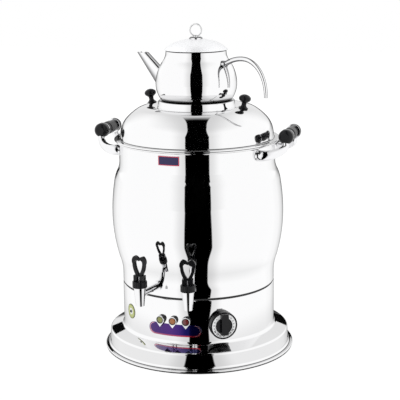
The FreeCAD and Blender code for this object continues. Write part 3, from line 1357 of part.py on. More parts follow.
def make_tap(side, azimuth, form):
    """One tap: barrel with shank, cap, stem with its cup and pin, spring and lever."""
    frame = standing(azimuth, size.tap_reach, size.tap_height)

    def local(x, y, z):
        return frame.multiply(at(x, y, z))

    inward = FreeCAD.Rotation(Vector(1, 0, 0), -90)

    def along(start):
        return frame.multiply(FreeCAD.Placement(Vector(0, float(start), 0), inward))

    wall_in = size.tap_reach - size.tank_radius + size.tank_sheet
    shank_end = wall_in + size.shank_inside
    spout = cone(side + "_spout", size.outlet_radius, size.barrel_radius,
                 size.barrel_rise + size.outlet_drop, local(0, 0, -size.outlet_drop))
    spigot = cylinder(side + "_spigot", size.spigot_radius, size.spigot_height,
                      local(0, 0, size.barrel_rise))
    shank = cylinder(side + "_shank", size.shank_radius, shank_end, along(0))
    chamber_length = size.barrel_rise + size.spigot_height + size.seat_drop
    chamber = cylinder(side + "_chamber", size.valve_bore, chamber_length,
                       local(0, 0, -size.seat_drop))
    outlet = cylinder(side + "_outlet", size.outlet_bore, size.outlet_drop,
                      local(0, 0, -size.outlet_drop))
    shank_hole = cylinder(side + "_shank_hole", size.shank_bore, shank_end, along(0))
    blank = fused(side + "_tap_blank", [spout, spigot, shank])
    keep(cut(side + "_tap_body", blank, [chamber, outlet, shank_hole]))

    flange = cylinder(side + "_flange_blank", size.tap_flange_radius,
                      size.tap_flange_thick + size.hollow_end_radius - size.tank_radius,
                      along(wall_in - size.tank_sheet - size.tap_flange_thick))
    bore = cylinder(side + "_flange_bore", size.shank_radius + size.fit, shank_end, along(0))
    flange_nut = cut(side + "_flange", flange, [bore, form])

    seal_start = size.tap_reach - chord_reach(size.tank_radius - size.tank_sheet,
                                              size.tap_seal_radius) + size.fit
    seal = cylinder(side + "_seal_blank", size.tap_seal_radius, size.tap_seal_thick,
                    along(seal_start))
    seal_bore = cylinder(side + "_seal_bore", size.shank_radius + size.fit, shank_end, along(0))
    inner_seals.append(cut(side + "_seal", seal, [seal_bore]))
    nut_start = seal_start + size.tap_seal_thick + size.fit
    nut = prism(side + "_nut_blank", 6, size.tap_nut_radius, size.tap_nut_thick, along(nut_start))
    nut_bore = cylinder(side + "_nut_bore", size.shank_radius + size.fit, shank_end, along(0))
    hex_nuts.append(cut(side + "_nut", nut, [nut_bore]))

    roof = cap_top - size.cap_roof
    cap = turned(side + "_cap_blank", [
        (size.spigot_radius + size.fit, cap_under),
        (size.cap_radius, cap_under),
        (size.cap_radius, cap_top - 1),
        (size.cap_radius - 1, cap_top),
        (size.stem_radius + size.stem_clearance, cap_top),
        (size.stem_radius + size.stem_clearance, roof),
        (size.spigot_radius + size.fit, roof),
    ], frame)
    flutes = []
    for index in range(int(float(size.cap_flutes))):
        angle = 2 * math.pi * index / float(size.cap_flutes)
        reach = float(size.cap_radius + size.flute_radius * 0.6)
        place = local(reach * math.cos(angle), reach * math.sin(angle), cap_under - 1)
        flutes.append(cylinder("%s_flute_%d" % (side, index), size.flute_radius,
                               size.cap_height + 2, place))
    keep(cut(side + "_tap_cap", cap, flutes))

    cup_foot = size.gap - size.seat_drop
    cup_top = cup_foot + size.cup_height
    stem_foot = cup_foot + size.cup_height / 2
    stem_top = pivot_height + size.eye_rise
    rod = cylinder(side + "_rod", size.stem_radius, stem_top - stem_foot, local(0, 0, stem_foot))
    turn = FreeCAD.Placement(Vector(float(-size.heel_wide / 2), 0, float(pivot_height)),
                             FreeCAD.Rotation(Vector(0, 1, 0), 90))
    eye = cylinder(side + "_eye", size.pin_radius + size.fit, size.heel_wide, frame.multiply(turn))
    keep(cut(side + "_tap_stem", rod, [eye]))
    keep(turned(side + "_seat_cup", [
        (0, cup_foot),
        (size.cup_radius, cup_foot),
        (size.cup_radius, cup_foot + size.cup_height / 3),
        (size.stem_radius * 1.6, cup_top),
        (size.stem_radius + size.fit, cup_top),
        (size.stem_radius + size.fit, stem_foot - size.fit),
        (0, stem_foot - size.fit),
    ], frame))

    pin_inset = size.heel_wide * 0.05
    turn = FreeCAD.Placement(Vector(float(pin_inset - size.heel_wide / 2), 0, float(pivot_height)),
                             FreeCAD.Rotation(Vector(0, 1, 0), 90))
    keep(cylinder(side + "_lever_pin", size.pin_radius, size.heel_wide - 2 * pin_inset,
                  frame.multiply(turn)))

    keep(turned(side + "_tap_spring", [
        (size.spring_radius - size.spring_wire / 2, cup_top + size.fit),
        (size.spring_radius + size.spring_wire / 2, cup_top + size.fit),
        (size.spring_radius + size.spring_wire / 2, roof - size.fit),
        (size.spring_radius - size.spring_wire / 2, roof - size.fit),
    ], frame))

    make_lever(side, frame)
    return flange_nut


def make_lever(side, frame):
    """Heart-shaped lever: a loop on a square heel that straddles the stem."""
    heel_foot = cap_top + size.gap
    heel_top = heel_foot + size.heel_tall
    top = heel_top + size.loop_tall
    waist = heel_top + size.loop_waist
    notch = top - size.loop_notch
    wide = size.loop_wide
    lobe = size.loop_lobe
    root = wide * 0.45
    side_bend = wide * 3
    lobe_bend = wide * 0.85
    outer = [
        (-root, heel_top - 1, side_bend),
        (root, heel_top - 1),
        (wide, waist, side_bend),
        (lobe, top, lobe_bend),
        (0, notch, lobe_bend),
        (-lobe, top, lobe_bend),
        (-wide, waist, lobe_bend),
    ]
    bar = size.loop_bar
    inner = wide - bar
    hole_top = notch - bar * 0.8
    hole = [
        (0, heel_top + bar * 0.12, side_bend),
        (inner, waist, side_bend),
        (inner * 0.6, hole_top + bar * 0.3, lobe_bend * 0.6),
        (0, hole_top, lobe_bend),
        (-inner * 0.6, hole_top + bar * 0.3, lobe_bend),
        (-inner, waist, lobe_bend * 0.6),
    ]
    loop = padded(side + "_loop", "XZ_Plane", [outer, hole], size.loop_deep, frame)
    deep = size.heel_deep / 2
    bend = size.heel_bend
    heel = padded(side + "_heel", "YZ_Plane", [[
        (bend - deep, heel_foot, bend),
        (deep - bend, heel_foot),
        (deep, heel_foot + bend, bend),
        (deep, heel_top),
        (-deep, heel_top),
        (-deep, heel_foot + bend),
    ]], size.heel_wide, frame)
    slot_wide = size.stem_radius + size.gap
    slot_top = pivot_height + size.stem_radius + size.eye_rise / 2
    slot = block(side + "_lever_slot", slot_wide * 2, size.heel_deep + 2, slot_top - cap_top, frame,
                 (-slot_wide, -deep - 1, cap_top))
    turn = FreeCAD.Placement(Vector(float(-size.heel_wide / 2 - 1), 0, float(pivot_height)),
                             FreeCAD.Rotation(Vector(0, 1, 0), 90))
    bore = cylinder(side + "_lever_bore", size.pin_radius + size.fit, size.heel_wide + 2,
                    frame.multiply(turn))
    keep(cut(side + "_tap_lever", fused(side + "_lever_blank", [loop, heel]), [slot, bore]))


def make_taps():
    """Both taps, and the nodes that their fixings share."""
    form = form_of("tank_form", [(corner[0] + size.fit,) + tuple(corner[1:])
                                 for corner in tank_outline()[2:6]])
    flanges = [make_tap(side, azimuth, form) for side, azimuth in tap_azimuths().items()]
    keep(group("tap_flanges", flanges))
    keep(group("inner_seals", inner_seals))
    keep(group("hex_nuts", hex_nuts))


# The lid

def lid_outline():
    """Outer line of the lid, from its skirt over the double flange to the steam hole."""
    bead_top = lid_under + 2 * size.lid_bead
    return [
        (size.lid_skirt_radius, lid_under - size.lid_skirt),
        (size.lid_skirt_radius, lid_under),
        (size.lid_flange_radius - size.lid_bead, lid_under),
        (size.lid_flange_radius, lid_under + size.lid_bead, size.lid_bead),
        (size.lid_flange_radius - size.lid_bead, bead_top, size.lid_bead),
        (size.lid_skirt_radius - size.gap + size.lid_wall_bend, bead_top),
        (size.lid_skirt_radius - size.gap, bead_top + size.lid_wall_bend, -size.lid_wall_bend),
        (size.lid_wall_radius, lid_under + size.lid_wall_height),
        (size.lid_side_radius, lid_under + size.lid_side_height, size.lid_side_bend),
        (size.lid_slope_radius, lid_under + size.lid_slope_height, size.lid_slope_bend),
        (size.lid_crown_radius, lid_under + size.lid_crown_height, size.lid_crown_bend),
        (size.collar_radius, lid_under + size.collar_seat_height),
        (size.steam_hole, lid_under + size.collar_seat_height),
    ]


def knob_seat():
    """Height and lean of the lid's surface under a knob."""
    start = Vector(float(size.lid_slope_radius), float(lid_under + size.lid_slope_height), 0)
    end = Vector(float(size.lid_crown_radius), float(lid_under + size.lid_crown_height), 0)
    centre = arc_centre(start, end, size.lid_crown_bend)
    lean = math.asin((float(size.knob_reach) - centre.x) / float(size.lid_crown_bend))
    height = centre.y + float(size.lid_crown_bend) * math.cos(lean)
    return height, lean


def make_lid():
    """Lid shell, teapot collar, and two knobs with their screws."""
    shell = spun("lid_spinning", lid_outline(), size.lid_sheet)
    height, lean = knob_seat()
    knobs = []
    screws = []
    holes = []
    for side, azimuth in (("right", size.knob_azimuth), ("left", size.knob_azimuth - 180)):
        outward, sideways = turn_about(azimuth)
        tilt = FreeCAD.Placement(Vector(), FreeCAD.Rotation(Vector(1, 0, 0), math.degrees(lean)))
        seat = standing(azimuth, size.knob_reach, height).multiply(tilt)
        bore = size.knob_screw + size.fit
        neck = size.knob_height * 0.42
        knobs.append(turned(side + "_lid_knob", [
            (0, size.knob_thread + size.fit),
            (bore, size.knob_thread + size.fit),
            (bore, size.fit),
            (size.knob_foot, size.fit),
            (size.knob_foot, size.knob_height * 0.05),
            (size.knob_neck, size.knob_height * 0.26, -size.knob_foot),
            (size.knob_neck * 1.125, neck),
            (size.knob_cap * 0.84, size.knob_height * 0.56),
            (size.knob_cap, size.knob_height * 0.7, size.knob_cap * 0.45),
            (size.knob_cap * 0.8, size.knob_height * 0.88, size.knob_cap * 0.5),
            (0, size.knob_height, dome(size.knob_cap * 0.8, size.knob_height * 0.12)),
        ], seat))
        under = -size.lid_sheet - size.gap
        screws.append(turned(side + "_knob_screw", [
            (0, under - size.knob_screw),
            (size.knob_screw * 1.9, under - size.knob_screw),
            (size.knob_screw * 1.9, under),
            (size.knob_screw, under),
            (size.knob_screw, size.knob_thread),
            (0, size.knob_thread),
        ], seat))
        holes.append(cylinder(side + "_knob_hole", bore, size.lid_sheet * 6,
                              seat.multiply(at(0, 0, -size.lid_sheet * 4))))
    keep(cut("lid_shell", shell, holes))
    keep(group("lid_knobs", knobs))
    keep(group("lid_knob_screws", screws))

    keep(spun("teapot_collar", [
        (size.collar_radius - size.collar_flange, collar_foot),
        (size.collar_radius, collar_foot),
        (size.collar_top_radius, collar_top - size.collar_roll),
        (size.collar_top_radius - size.collar_roll, collar_top, size.collar_roll),
        (size.collar_bore + size.collar_lip, collar_top),
        (size.collar_bore, collar_top - size.collar_lip, size.collar_lip),
        (size.collar_bore, ledge_top + size.ledge_bend),
        (size.collar_bore - size.ledge_bend, ledge_top, -size.ledge_bend),
        (size.ledge_inner, ledge_top),
    ], size.lid_sheet))


# The teapot

def pot_outline():
    """Outer line of the teapot from its base to its mouth, with heights above the base."""
    return [
        (0, pot_under),
        (size.pot_base, pot_under),
        (size.pot_foot_radius, pot_under + size.pot_foot_height, size.pot_corner),
        (size.pot_belly_radius, pot_under + size.pot_belly_height, size.pot_lower_bend),
        (size.pot_upper_radius, pot_under + size.pot_upper_height, size.pot_upper_bend),
        (size.pot_neck_radius, pot_under + size.pot_neck_height, -size.pot_neck_bend),
        (size.pot_mouth_radius, pot_mouth),
    ]


def pot_radius(height):
    """Teapot's outer radius at a height above its base, on the belly's two arcs."""
    belly = Vector(float(size.pot_belly_radius), float(size.pot_belly_height), 0)
    if height < belly.y:
        start = Vector(float(size.pot_foot_radius), float(size.pot_foot_height), 0)
        bend = float(size.pot_lower_bend)
        centre = arc_centre(start, belly, bend)
    else:
        end = Vector(float(size.pot_upper_radius), float(size.pot_upper_height), 0)
        bend = float(size.pot_upper_bend)
        centre = arc_centre(belly, end, bend)
    return centre.x + math.sqrt(max(bend ** 2 - (height - centre.y) ** 2, 0))


def spout_solid(shrink):
    """Tapered spout from its root to past its tip, thinner all round by shrink."""
    outward, sideways = turn_about(size.spout_azimuth)
    base = float(pot_under)
    root = outward * float(size.spout_root_reach) + Vector(0, 0, base + float(size.spout_root_height))
    tip = outward * float(size.spout_tip_reach) + Vector(0, 0, base + float(size.spout_tip_height))
    way = (tip - root).normalize()
    past = tip + way * float(size.spout_tip_radius)
    inside = root - way * float(size.spout_tip_radius)
    tall = float(size.spout_root_tall)
    wide = float(size.spout_root_wide)
    end = float(size.spout_tip_radius)
    back = ellipse(inside, way, sideways, wide + 1 - shrink, tall + 1 - shrink)
    front = ellipse(past, way, sideways, end - shrink, end - shrink)
    return Part.makeLoft([back, front], True, True)


def make_pot():
    """Teapot body, spout and handle."""
    vessel = spun("pot_spinning", pot_outline(), size.pot_sheet)
    outward, sideways = turn_about(size.spout_azimuth)
    strainer = []
    pitch = float(size.strainer_pitch)
    for index in range(7):
        angle = math.pi / 3 * index
        ring = pitch if index < 6 else 0
        height = size.spout_root_height + ring * math.sin(angle) + size.strainer_pitch
        place = facing_out(size.spout_azimuth, size.pot_mouth_radius, pot_under + height)
        place = place.multiply(at(ring * math.cos(angle), 0, 0))
        strainer.append(cylinder("strainer_%d" % index, size.strainer_hole,
                                 size.pot_belly_radius / 2, place))
    keep(cut("teapot_body", vessel, strainer))

    form = [(corner[0] + size.fit,) + tuple(corner[1:]) for corner in pot_outline()[1:]]
    trim = form_of("pot_form", form)
    doc.recompute()
    tip_height = float(pot_under + size.spout_tip_height)
    reach = float(size.spout_tip_reach) * 3
    above = Part.makeBox(reach * 2, reach * 2, reach, Vector(-reach, -reach, tip_height))
    tube = spout_solid(0).cut(spout_solid(float(size.pot_sheet)))
    spout = tube.cut(trim.Shape).cut(above)
    spout = max(spout.Solids, key=lambda solid: solid.Volume)
    keep(shaped("teapot_spout", spout))

    outward, sideways = turn_about(size.handle_azimuth)
    base = float(pot_under)

    def point(distance, height):
        return outward * float(distance) + Vector(0, 0, base + float(height))

    root = float(size.handle_root_height)
    wall = pot_radius(root) + float(size.handle_plate_thick) * 0.7
    apex = point(size.handle_apex_reach, size.handle_root_height + size.handle_rise)
    tip = point(size.handle_tip_reach, size.handle_tip_height)
    start = point(wall, root)
    thick = float(size.handle_thick)
    thin = float(size.handle_thin)
    mean = (thick + thin) * 0.53
    way_out = float(size.handle_apex_reach) - wall
    rise = float(size.handle_rise)
    spread = float(size.handle_tip_reach - size.handle_apex_reach)
    rising = tapered_bar([start, start + outward * (way_out * 0.3) + Vector(0, 0, rise * 0.64),
                          apex - outward * (way_out * 0.39), apex],
                         sideways, (thick, thick), (mean, mean))
    falling = tapered_bar([apex, apex + outward * (spread * 0.5), tip + Vector(0, 0, spread * 0.85),
                           tip], sideways, (mean, mean), (thin, thin))
    wires = []
    for share in (0.0, 0.33, 0.66, 1.0):
        height = root - float(size.prong_length) * share
        radius = pot_radius(height)
        depth = float(size.handle_plate_thick) * (1 - share * 0.4) / 2
        width = thick * (1 - share * 0.55)
        wires.append(ellipse(point(radius + depth * 0.9, height), Vector(0, 0, -1), sideways,
                             width, depth))
    prong = Part.makeLoft(wires, True, False)
    plate = Part.makeCylinder(float(size.handle_plate),
                              float(size.handle_plate_thick) * 3,
                              point(wall - float(size.handle_plate_thick) * 2, root), outward)
    handle = rising.fuse([falling, prong, plate]).cut(trim.Shape)
    handle = max(handle.Solids, key=lambda solid: solid.Volume)
    keep(shaped("teapot_handle", handle))


def make_pot_lid():
    """Teapot lid with its base disc and ring knob."""
    edge = size.pot_mouth_radius + size.pot_lid_overhang
    skirt = size.pot_mouth_radius - size.pot_sheet - size.pot_lid_play
    top = pot_mouth + size.pot_lid_height
    stem = size.ring_boss_radius * 0.6
    keep(spun("teapot_lid", [
        (skirt, pot_lid_under - size.pot_lid_skirt),
        (skirt, pot_lid_under),
        (edge - size.pot_lid_bead, pot_lid_under),
        (edge, pot_lid_under + size.pot_lid_bead, size.pot_lid_bead),
        (edge - size.pot_lid_bead, pot_lid_under + 2 * size.pot_lid_bead, size.pot_lid_bead),
        (size.pot_lid_side_radius, pot_mouth + size.pot_lid_side_height, size.pot_lid_side_bend),
        (stem + size.fit, top, size.pot_lid_crown_bend),
    ], size.pot_lid_sheet))

    sag = size.ring_base_radius * size.ring_base_radius / (2 * size.pot_lid_crown_bend)
    face = top + size.fit
    lock = top - size.pot_lid_sheet - size.gap
    blank = turned("ring_base_blank", [
        (0, lock - size.ring_wire * 2),
        (stem * 2, lock - size.ring_wire * 2),
        (stem * 2, lock),
        (stem, lock),
        (stem, face),
        (size.ring_base_radius, face - sag, -size.pot_lid_crown_bend),
        (size.ring_base_radius, face + size.ring_base_height * 0.4),
        (size.ring_base_radius * 0.75, face + size.ring_base_height),
        (size.ring_boss_radius, face + size.ring_base_height),
        (size.ring_boss_radius, face + size.ring_boss_height * 0.85),
        (0, face + size.ring_boss_height),
    ])
    centre = face + size.ring_base_height + size.ring_wire * 1.1 + size.ring_radius
    place = FreeCAD.Placement(Vector(0, 0, float(centre)), FreeCAD.Rotation(Vector(1, 0, 0), 90))
    ring = add("Part::Torus", "ring_knob", place)
    bind(ring, "Radius1", size.ring_radius)
    bind(ring, "Radius2", size.ring_wire)
    groove = add("Part::Torus", "ring_groove", place)
    bind(groove, "Radius1", size.ring_radius)
    bind(groove, "Radius2", size.ring_wire + size.fit)
    keep(cut("ring_base", blank, [groove]))
    keep(ring)


make_base()
make_cover()
make_ties()
make_tank()
make_element()
make_thermostat()
make_fittings()
make_lamps()
make_plates()
make_handles()
make_taps()
make_lid()
make_pot()
make_pot_lid()
doc.recompute()


# Check everything, then write one file for each sub-part

problems = [item.Name for item in doc.Objects
            if any(word in item.State for word in ("Invalid", "Error"))]
for item in nodes:
    if item.Shape.isNull() or not item.Shape.isValid() or not item.Shape.Solids:
        problems.append(item.Label)
if problems:
    raise RuntimeError("failed objects: " + ", ".join(problems))
for item in nodes:
    item.Shape.exportStep("parts/" + item.Label + ".step")
print("wrote", len(nodes), "sub-parts,", sum(len(item.Shape.Solids) for item in nodes), "solids")
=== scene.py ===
# %% [markdown]
# # A mirror-polished tea urn
#
# The urn is spun steel: a flared base, a barrel-shaped water tank, a domed lid, and a teapot
# that stands in a collar on the lid. The measured solids are loaded first and stay where they
# are. What a mirror shows is the room, so smooth surfaces and the room around them matter
# most here.

# %% Load the measured solids
import bpy
import json
import math
from mathutils import Matrix, Vector


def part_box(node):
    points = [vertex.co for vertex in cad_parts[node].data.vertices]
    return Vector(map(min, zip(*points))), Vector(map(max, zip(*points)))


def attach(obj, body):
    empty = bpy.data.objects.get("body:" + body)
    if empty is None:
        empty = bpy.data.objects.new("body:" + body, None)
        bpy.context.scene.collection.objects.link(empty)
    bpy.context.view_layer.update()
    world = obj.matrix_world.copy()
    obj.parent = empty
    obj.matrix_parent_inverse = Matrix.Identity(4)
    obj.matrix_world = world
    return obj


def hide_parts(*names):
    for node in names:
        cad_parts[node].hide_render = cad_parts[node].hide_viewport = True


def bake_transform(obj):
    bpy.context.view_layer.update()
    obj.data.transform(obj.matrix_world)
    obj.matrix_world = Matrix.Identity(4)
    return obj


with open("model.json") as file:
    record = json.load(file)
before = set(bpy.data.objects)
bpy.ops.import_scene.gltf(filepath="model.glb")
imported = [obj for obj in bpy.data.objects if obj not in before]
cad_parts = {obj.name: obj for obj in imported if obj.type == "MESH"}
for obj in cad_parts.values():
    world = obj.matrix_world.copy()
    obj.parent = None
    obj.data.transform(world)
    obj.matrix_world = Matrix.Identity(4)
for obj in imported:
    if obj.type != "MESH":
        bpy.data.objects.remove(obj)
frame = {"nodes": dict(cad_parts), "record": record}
nodes = frame["nodes"]
scene = bpy.context.scene
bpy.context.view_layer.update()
MM = 0.001
print("loaded", len(nodes), "solids")

# %% [markdown]
# ## The camera
#
# The view is from the front right and a little above. The focal length and the distance come
# from how the ellipses of the rim, the lid and the teapot open up in the photograph.

# %% Camera
VIEW_AZIMUTH = math.radians(16.75)
VIEW_DISTANCE = 2.3837
VIEW_HEIGHT = 0.85455
VIEW_PITCH = math.radians(12.62)
VIEW_ROLL = math.radians(-0.668)
SENSOR_WIDTH = 36
FOCAL_LENGTH = 101.26
IMAGE_SHIFT = 0.0057
FARTHEST = 50

# the three directions of the studio, seen from the camera
RIGHT = Vector((math.cos(VIEW_AZIMUTH), math.sin(VIEW_AZIMUTH), 0))
FRONT = Vector((math.sin(VIEW_AZIMUTH), -math.cos(VIEW_AZIMUTH), 0))
UP = Vector((0, 0, 1))

camera_data = bpy.data.cameras.new("view")
camera_data.sensor_width = SENSOR_WIDTH
camera_data.lens = FOCAL_LENGTH
camera_data.shift_x = IMAGE_SHIFT
camera_data.clip_end = FARTHEST
camera = bpy.data.objects.new("view", camera_data)
scene.collection.objects.link(camera)
turn = (Matrix.Rotation(VIEW_AZIMUTH, 4, "Z")
        @ Matrix.Rotation(math.pi / 2 - VIEW_PITCH, 4, "X")
        @ Matrix.Rotation(VIEW_ROLL, 4, "Z"))
place = FRONT * VIEW_DISTANCE + UP * VIEW_HEIGHT
camera.matrix_world = Matrix.Translation(place) @ turn
scene.camera = camera
print("camera at", [round(value, 3) for value in place])

# %% [markdown]
# ## Shader helpers
#
# Every look here is a small net of shader nodes. These helpers add one node each and join it
# up, so that the nets below read like sums. A soft step is given by its two ends, each a pair
# of a value and the result there, because that is how such a step is read off a photograph.

# %% Shader helpers


def node(tree, kind, **values):
    """Add a shader node and set its properties and unlinked inputs by name."""
    new = tree.nodes.new(kind)
    for name, value in values.items():
        if name in new.inputs:
            new.inputs[name].default_value = value
        else:
            setattr(new, name, value)
    return new


def math_node(tree, operation, *values):
    """A Math node on up to three links or numbers; returns its output."""
    new = node(tree, "ShaderNodeMath", operation=operation)
    for socket, value in zip(new.inputs, values):
        if isinstance(value, (int, float)):
            socket.default_value = value
        else:
            tree.links.new(value, socket)
    return new.outputs[0]


def product(tree, first, *others):
    """All the values multiplied together."""
    for other in others:
        first = math_node(tree, "MULTIPLY", first, other)
    return first


def distance(tree, across, above):
    """Length of the vector (across, above)."""
    squares = math_node(tree, "MULTIPLY", across, across)
    squares = math_node(tree, "MULTIPLY_ADD", above, above, squares)
    return math_node(tree, "SQRT", squares)


def soft_step(tree, value, first, last):
    """A soft step of value between two (value, result) pairs, the lower value first."""
    step = node(tree, "ShaderNodeMapRange", interpolation_type="SMOOTHSTEP")
    for socket, number in zip(("From Min", "To Min", "From Max", "To Max"), (*first, *last)):
        step.inputs[socket].default_value = number
    tree.links.new(value, step.inputs["Value"])
    return step.outputs["Result"]


def dot_with(tree, vector, direction):
    """Dot product of a vector link with a fixed direction."""
    new = node(tree, "ShaderNodeVectorMath", operation="DOT_PRODUCT")
    tree.links.new(vector, new.inputs[0])
    new.inputs[1].default_value = direction
    return new.outputs["Value"]


def colour_ramp(tree, value, stops):
    """A colour ramp of value with stops of (position, colour); returns its colour."""
    new = node(tree, "ShaderNodeValToRGB")
    tree.links.new(value, new.inputs["Fac"])
    band = new.color_ramp.elements
    for index, (position, colour) in enumerate(stops):
        stop = band[index] if index < len(band) else band.new(position)
        stop.position = position
        stop.color = (*colour, 1)
    return new.outputs["Color"]


def grey_ramp(tree, value, stops):
    """A ramp of value through (position, number) stops."""
    return colour_ramp(tree, value, [(position, (grey, grey, grey)) for position, grey in stops])


def print_over(tree, mask, under, over):
    """The colour over laid on the colour under by a mask; both are links or three numbers."""
    mix = node(tree, "ShaderNodeMix", data_type="RGBA")
    tree.links.new(mask, mix.inputs[0])
    for socket, colour in ((mix.inputs[6], under), (mix.inputs[7], over)):
        if isinstance(colour, tuple):
            socket.default_value = (*colour, 1)
        else:
            tree.links.new(colour, socket)
    return mix.outputs[2]


def mix_shaders(tree, share, first, second):
    """The nodes first and second mixed by the link share; returns the mix."""
    mix = node(tree, "ShaderNodeMixShader")
    tree.links.new(share, mix.inputs[0])
    tree.links.new(first.outputs[0], mix.inputs[1])
    tree.links.new(second.outputs[0], mix.inputs[2])
    return mix


def bare_material(name):
    """A material without any nodes yet, and its tree."""
    material = bpy.data.materials.new(name)
    material.use_nodes = True
    material.node_tree.nodes.clear()
    return material, material.node_tree


print("helpers ready")

# %% [markdown]
# ## The studio
#
# Polished steel has no colour of its own. It was photographed in a white tent with a dark
# slit in front, where the camera looks in, and that slit is the broad black band down every
# round surface. The world paints this tent for reflections: white walls, a little greyer
# beside the slit; the dark slit itself, which narrows towards the floor and the ceiling; and
# the darkness low behind the urn, which gives each round wall its thin dark outline. Diffuse
# surfaces get plain soft light instead. A ramp holds the slit's half width by height, because
# a table of numbers is easier to match to a photograph than a formula.

# %% World
TENT_LEVEL = 1.18
# height of a direction, from -1 straight down to 1 straight up, and half the slit's width there
SLIT = ((-1.0, 0.12), (-0.7, 0.136), (-0.32, 0.20), (-0.26, 0.257), (-0.22, 0.288),
        (0.07, 0.30), (0.5, 0.285), (0.97, 0.164), (1.0, 0.15))
# how far a direction points straight back, and how bright the tent is low down there
BEHIND = ((0.0, 1.0), (0.5, 1.0), (0.72, 0.93), (0.86, 0.74), (0.93, 0.42), (0.965, 0.1),
          (1.0, 0.02))
SLIT_EDGE = ((-0.006, 0.0), (0.006, 1.0))
SLIT_END = ((-0.34, 1.0), (-0.1, 0.0))
WALL_SHADE = ((0.0, 0.76), (0.35, 1.0))
LOW_DOWN = ((0.0, 1.0), (0.1, 0.0))
CEILING_SHADE = ((0.66, 1.0), (0.95, 0.87))

scene.view_settings.view_transform = "Standard"
world = bpy.data.worlds.new("tent")
scene.world = world
world.use_nodes = True
tree = world.node_tree
tree.nodes.clear()

where = node(tree, "ShaderNodeTexCoord").outputs["Generated"]
aside = math_node(tree, "ABSOLUTE", dot_with(tree, where, RIGHT))
ahead = dot_with(tree, where, FRONT)
upward = dot_with(tree, where, UP)
half_width = grey_ramp(tree, math_node(tree, "MULTIPLY_ADD", upward, 0.5, 0.5),
                       [(height / 2 + 0.5, width) for height, width in SLIT])
beside = math_node(tree, "SUBTRACT", aside, half_width)
slit = math_node(tree, "MAXIMUM", soft_step(tree, beside, *SLIT_EDGE),
                 soft_step(tree, ahead, *SLIT_END))
rear = grey_ramp(tree, math_node(tree, "MULTIPLY", ahead, -1.0), BEHIND)
dark = math_node(tree, "SUBTRACT", 1.0, rear)
dark = math_node(tree, "MULTIPLY", dark, soft_step(tree, upward, *LOW_DOWN))
tent = product(tree, soft_step(tree, beside, *WALL_SHADE), math_node(tree, "SUBTRACT", 1.0, dark),
               soft_step(tree, upward, *CEILING_SHADE), slit, TENT_LEVEL)

plain = node(tree, "ShaderNodeBackground", Color=(0.97, 0.98, 1.0, 1), Strength=0.82)
mirrored = node(tree, "ShaderNodeBackground", Color=(1, 1, 1, 1))
tree.links.new(tent, mirrored.inputs["Strength"])
white = node(tree, "ShaderNodeBackground", Color=(1, 1, 1, 1), Strength=1.0)
rays = node(tree, "ShaderNodeLightPath").outputs
shiny = math_node(tree, "MAXIMUM", rays["Is Glossy Ray"], rays["Is Transmission Ray"])
lit = mix_shaders(tree, shiny, plain, mirrored)
shown = mix_shaders(tree, rays["Is Camera Ray"], lit, white)
tree.links.new(shown.outputs[0], node(tree, "ShaderNodeOutputWorld").inputs["Surface"])
print("tent painted")

# %% [markdown]
# Two large soft lamps stand left and right of the camera. They model the black plastic and
# give the floor a faint shadow, and they are kept out of reflections, where the tent does the
# work.

# %% Lamps
LAMP_SIZE = 1.2
LAMP_AHEAD = 1.5
AIM_HEIGHT = 0.3
# name, metres to the right, height, watts
LAMPS = (("left_lamp", -1.6, 2.0, 22), ("right_lamp", 1.9, 1.4, 10))

for name, side, height, power in LAMPS:
    data = bpy.data.lights.new(name, "AREA")
    data.energy = power
    data.size = LAMP_SIZE
    lamp = bpy.data.objects.new(name, data)
    scene.collection.objects.link(lamp)
    spot = RIGHT * side + FRONT * LAMP_AHEAD + UP * height
    turn = (UP * AIM_HEIGHT - spot).to_track_quat("-Z", "Y").to_matrix().to_4x4()
    lamp.matrix_world = Matrix.Translation(spot) @ turn
    lamp.visible_glossy = False
print(len(LAMPS), "lamps set up")

# %% [markdown]
# The floor is white paper. To the camera it glows like the background and keeps the urn's
# shadow close by. In reflections it is the tent's floor: white, with a dark wedge that opens
# towards the camera, where the slit meets it, and dark far behind the urn.

# %% Floor
FLOOR_SIZE = 14
LEAST_WAY = 0.1
FLOOR_GLOW = 1.08
WEDGE_OPENING = ((0.40, 0.20), (0.68, 0.30))
WEDGE_EDGE = ((-0.012, 1.0), (0.012, 0.0))
WEDGE_START = ((0.1, 0.0), (0.15, 1.0))
NEAR_SHADE = ((0.28, 0.84), (0.5, 1.0))
GLOW_SHARE = ((0.35, 0.86), (1.0, 1.0))

bpy.ops.mesh.primitive_plane_add(size=FLOOR_SIZE, location=(0, 0, 0))
floor = bpy.context.object
floor.name = "floor"
paper, tree = bare_material("floor_paper")
spot = node(tree, "ShaderNodeTexCoord").outputs["Object"]
across = math_node(tree, "ABSOLUTE", dot_with(tree, spot, RIGHT))
out = dot_with(tree, spot, FRONT)
from_urn = distance(tree, across, out)
way = math_node(tree, "MAXIMUM", math_node(tree, "ABSOLUTE", out), LEAST_WAY)
beside = math_node(tree, "SUBTRACT", math_node(tree, "DIVIDE", across, way),
                   soft_step(tree, out, *WEDGE_OPENING))
wedge = product(tree, soft_step(tree, beside, *WEDGE_EDGE), soft_step(tree, out, *WEDGE_START))
incoming = node(tree, "ShaderNodeNewGeometry").outputs["Incoming"]
seen = product(tree, math_node(tree, "SUBTRACT", 1.0, wedge),
               grey_ramp(tree, dot_with(tree, incoming, FRONT), BEHIND),
               soft_step(tree, beside, *WALL_SHADE), TENT_LEVEL,
               soft_step(tree, from_urn, *NEAR_SHADE))
cloth = node(tree, "ShaderNodeBsdfDiffuse", Color=(0.8, 0.8, 0.8, 1))
glow = node(tree, "ShaderNodeEmission", Color=(1, 1, 1, 1), Strength=FLOOR_GLOW)
mirrored = node(tree, "ShaderNodeEmission", Color=(1, 1, 1, 1))
tree.links.new(seen, mirrored.inputs["Strength"])
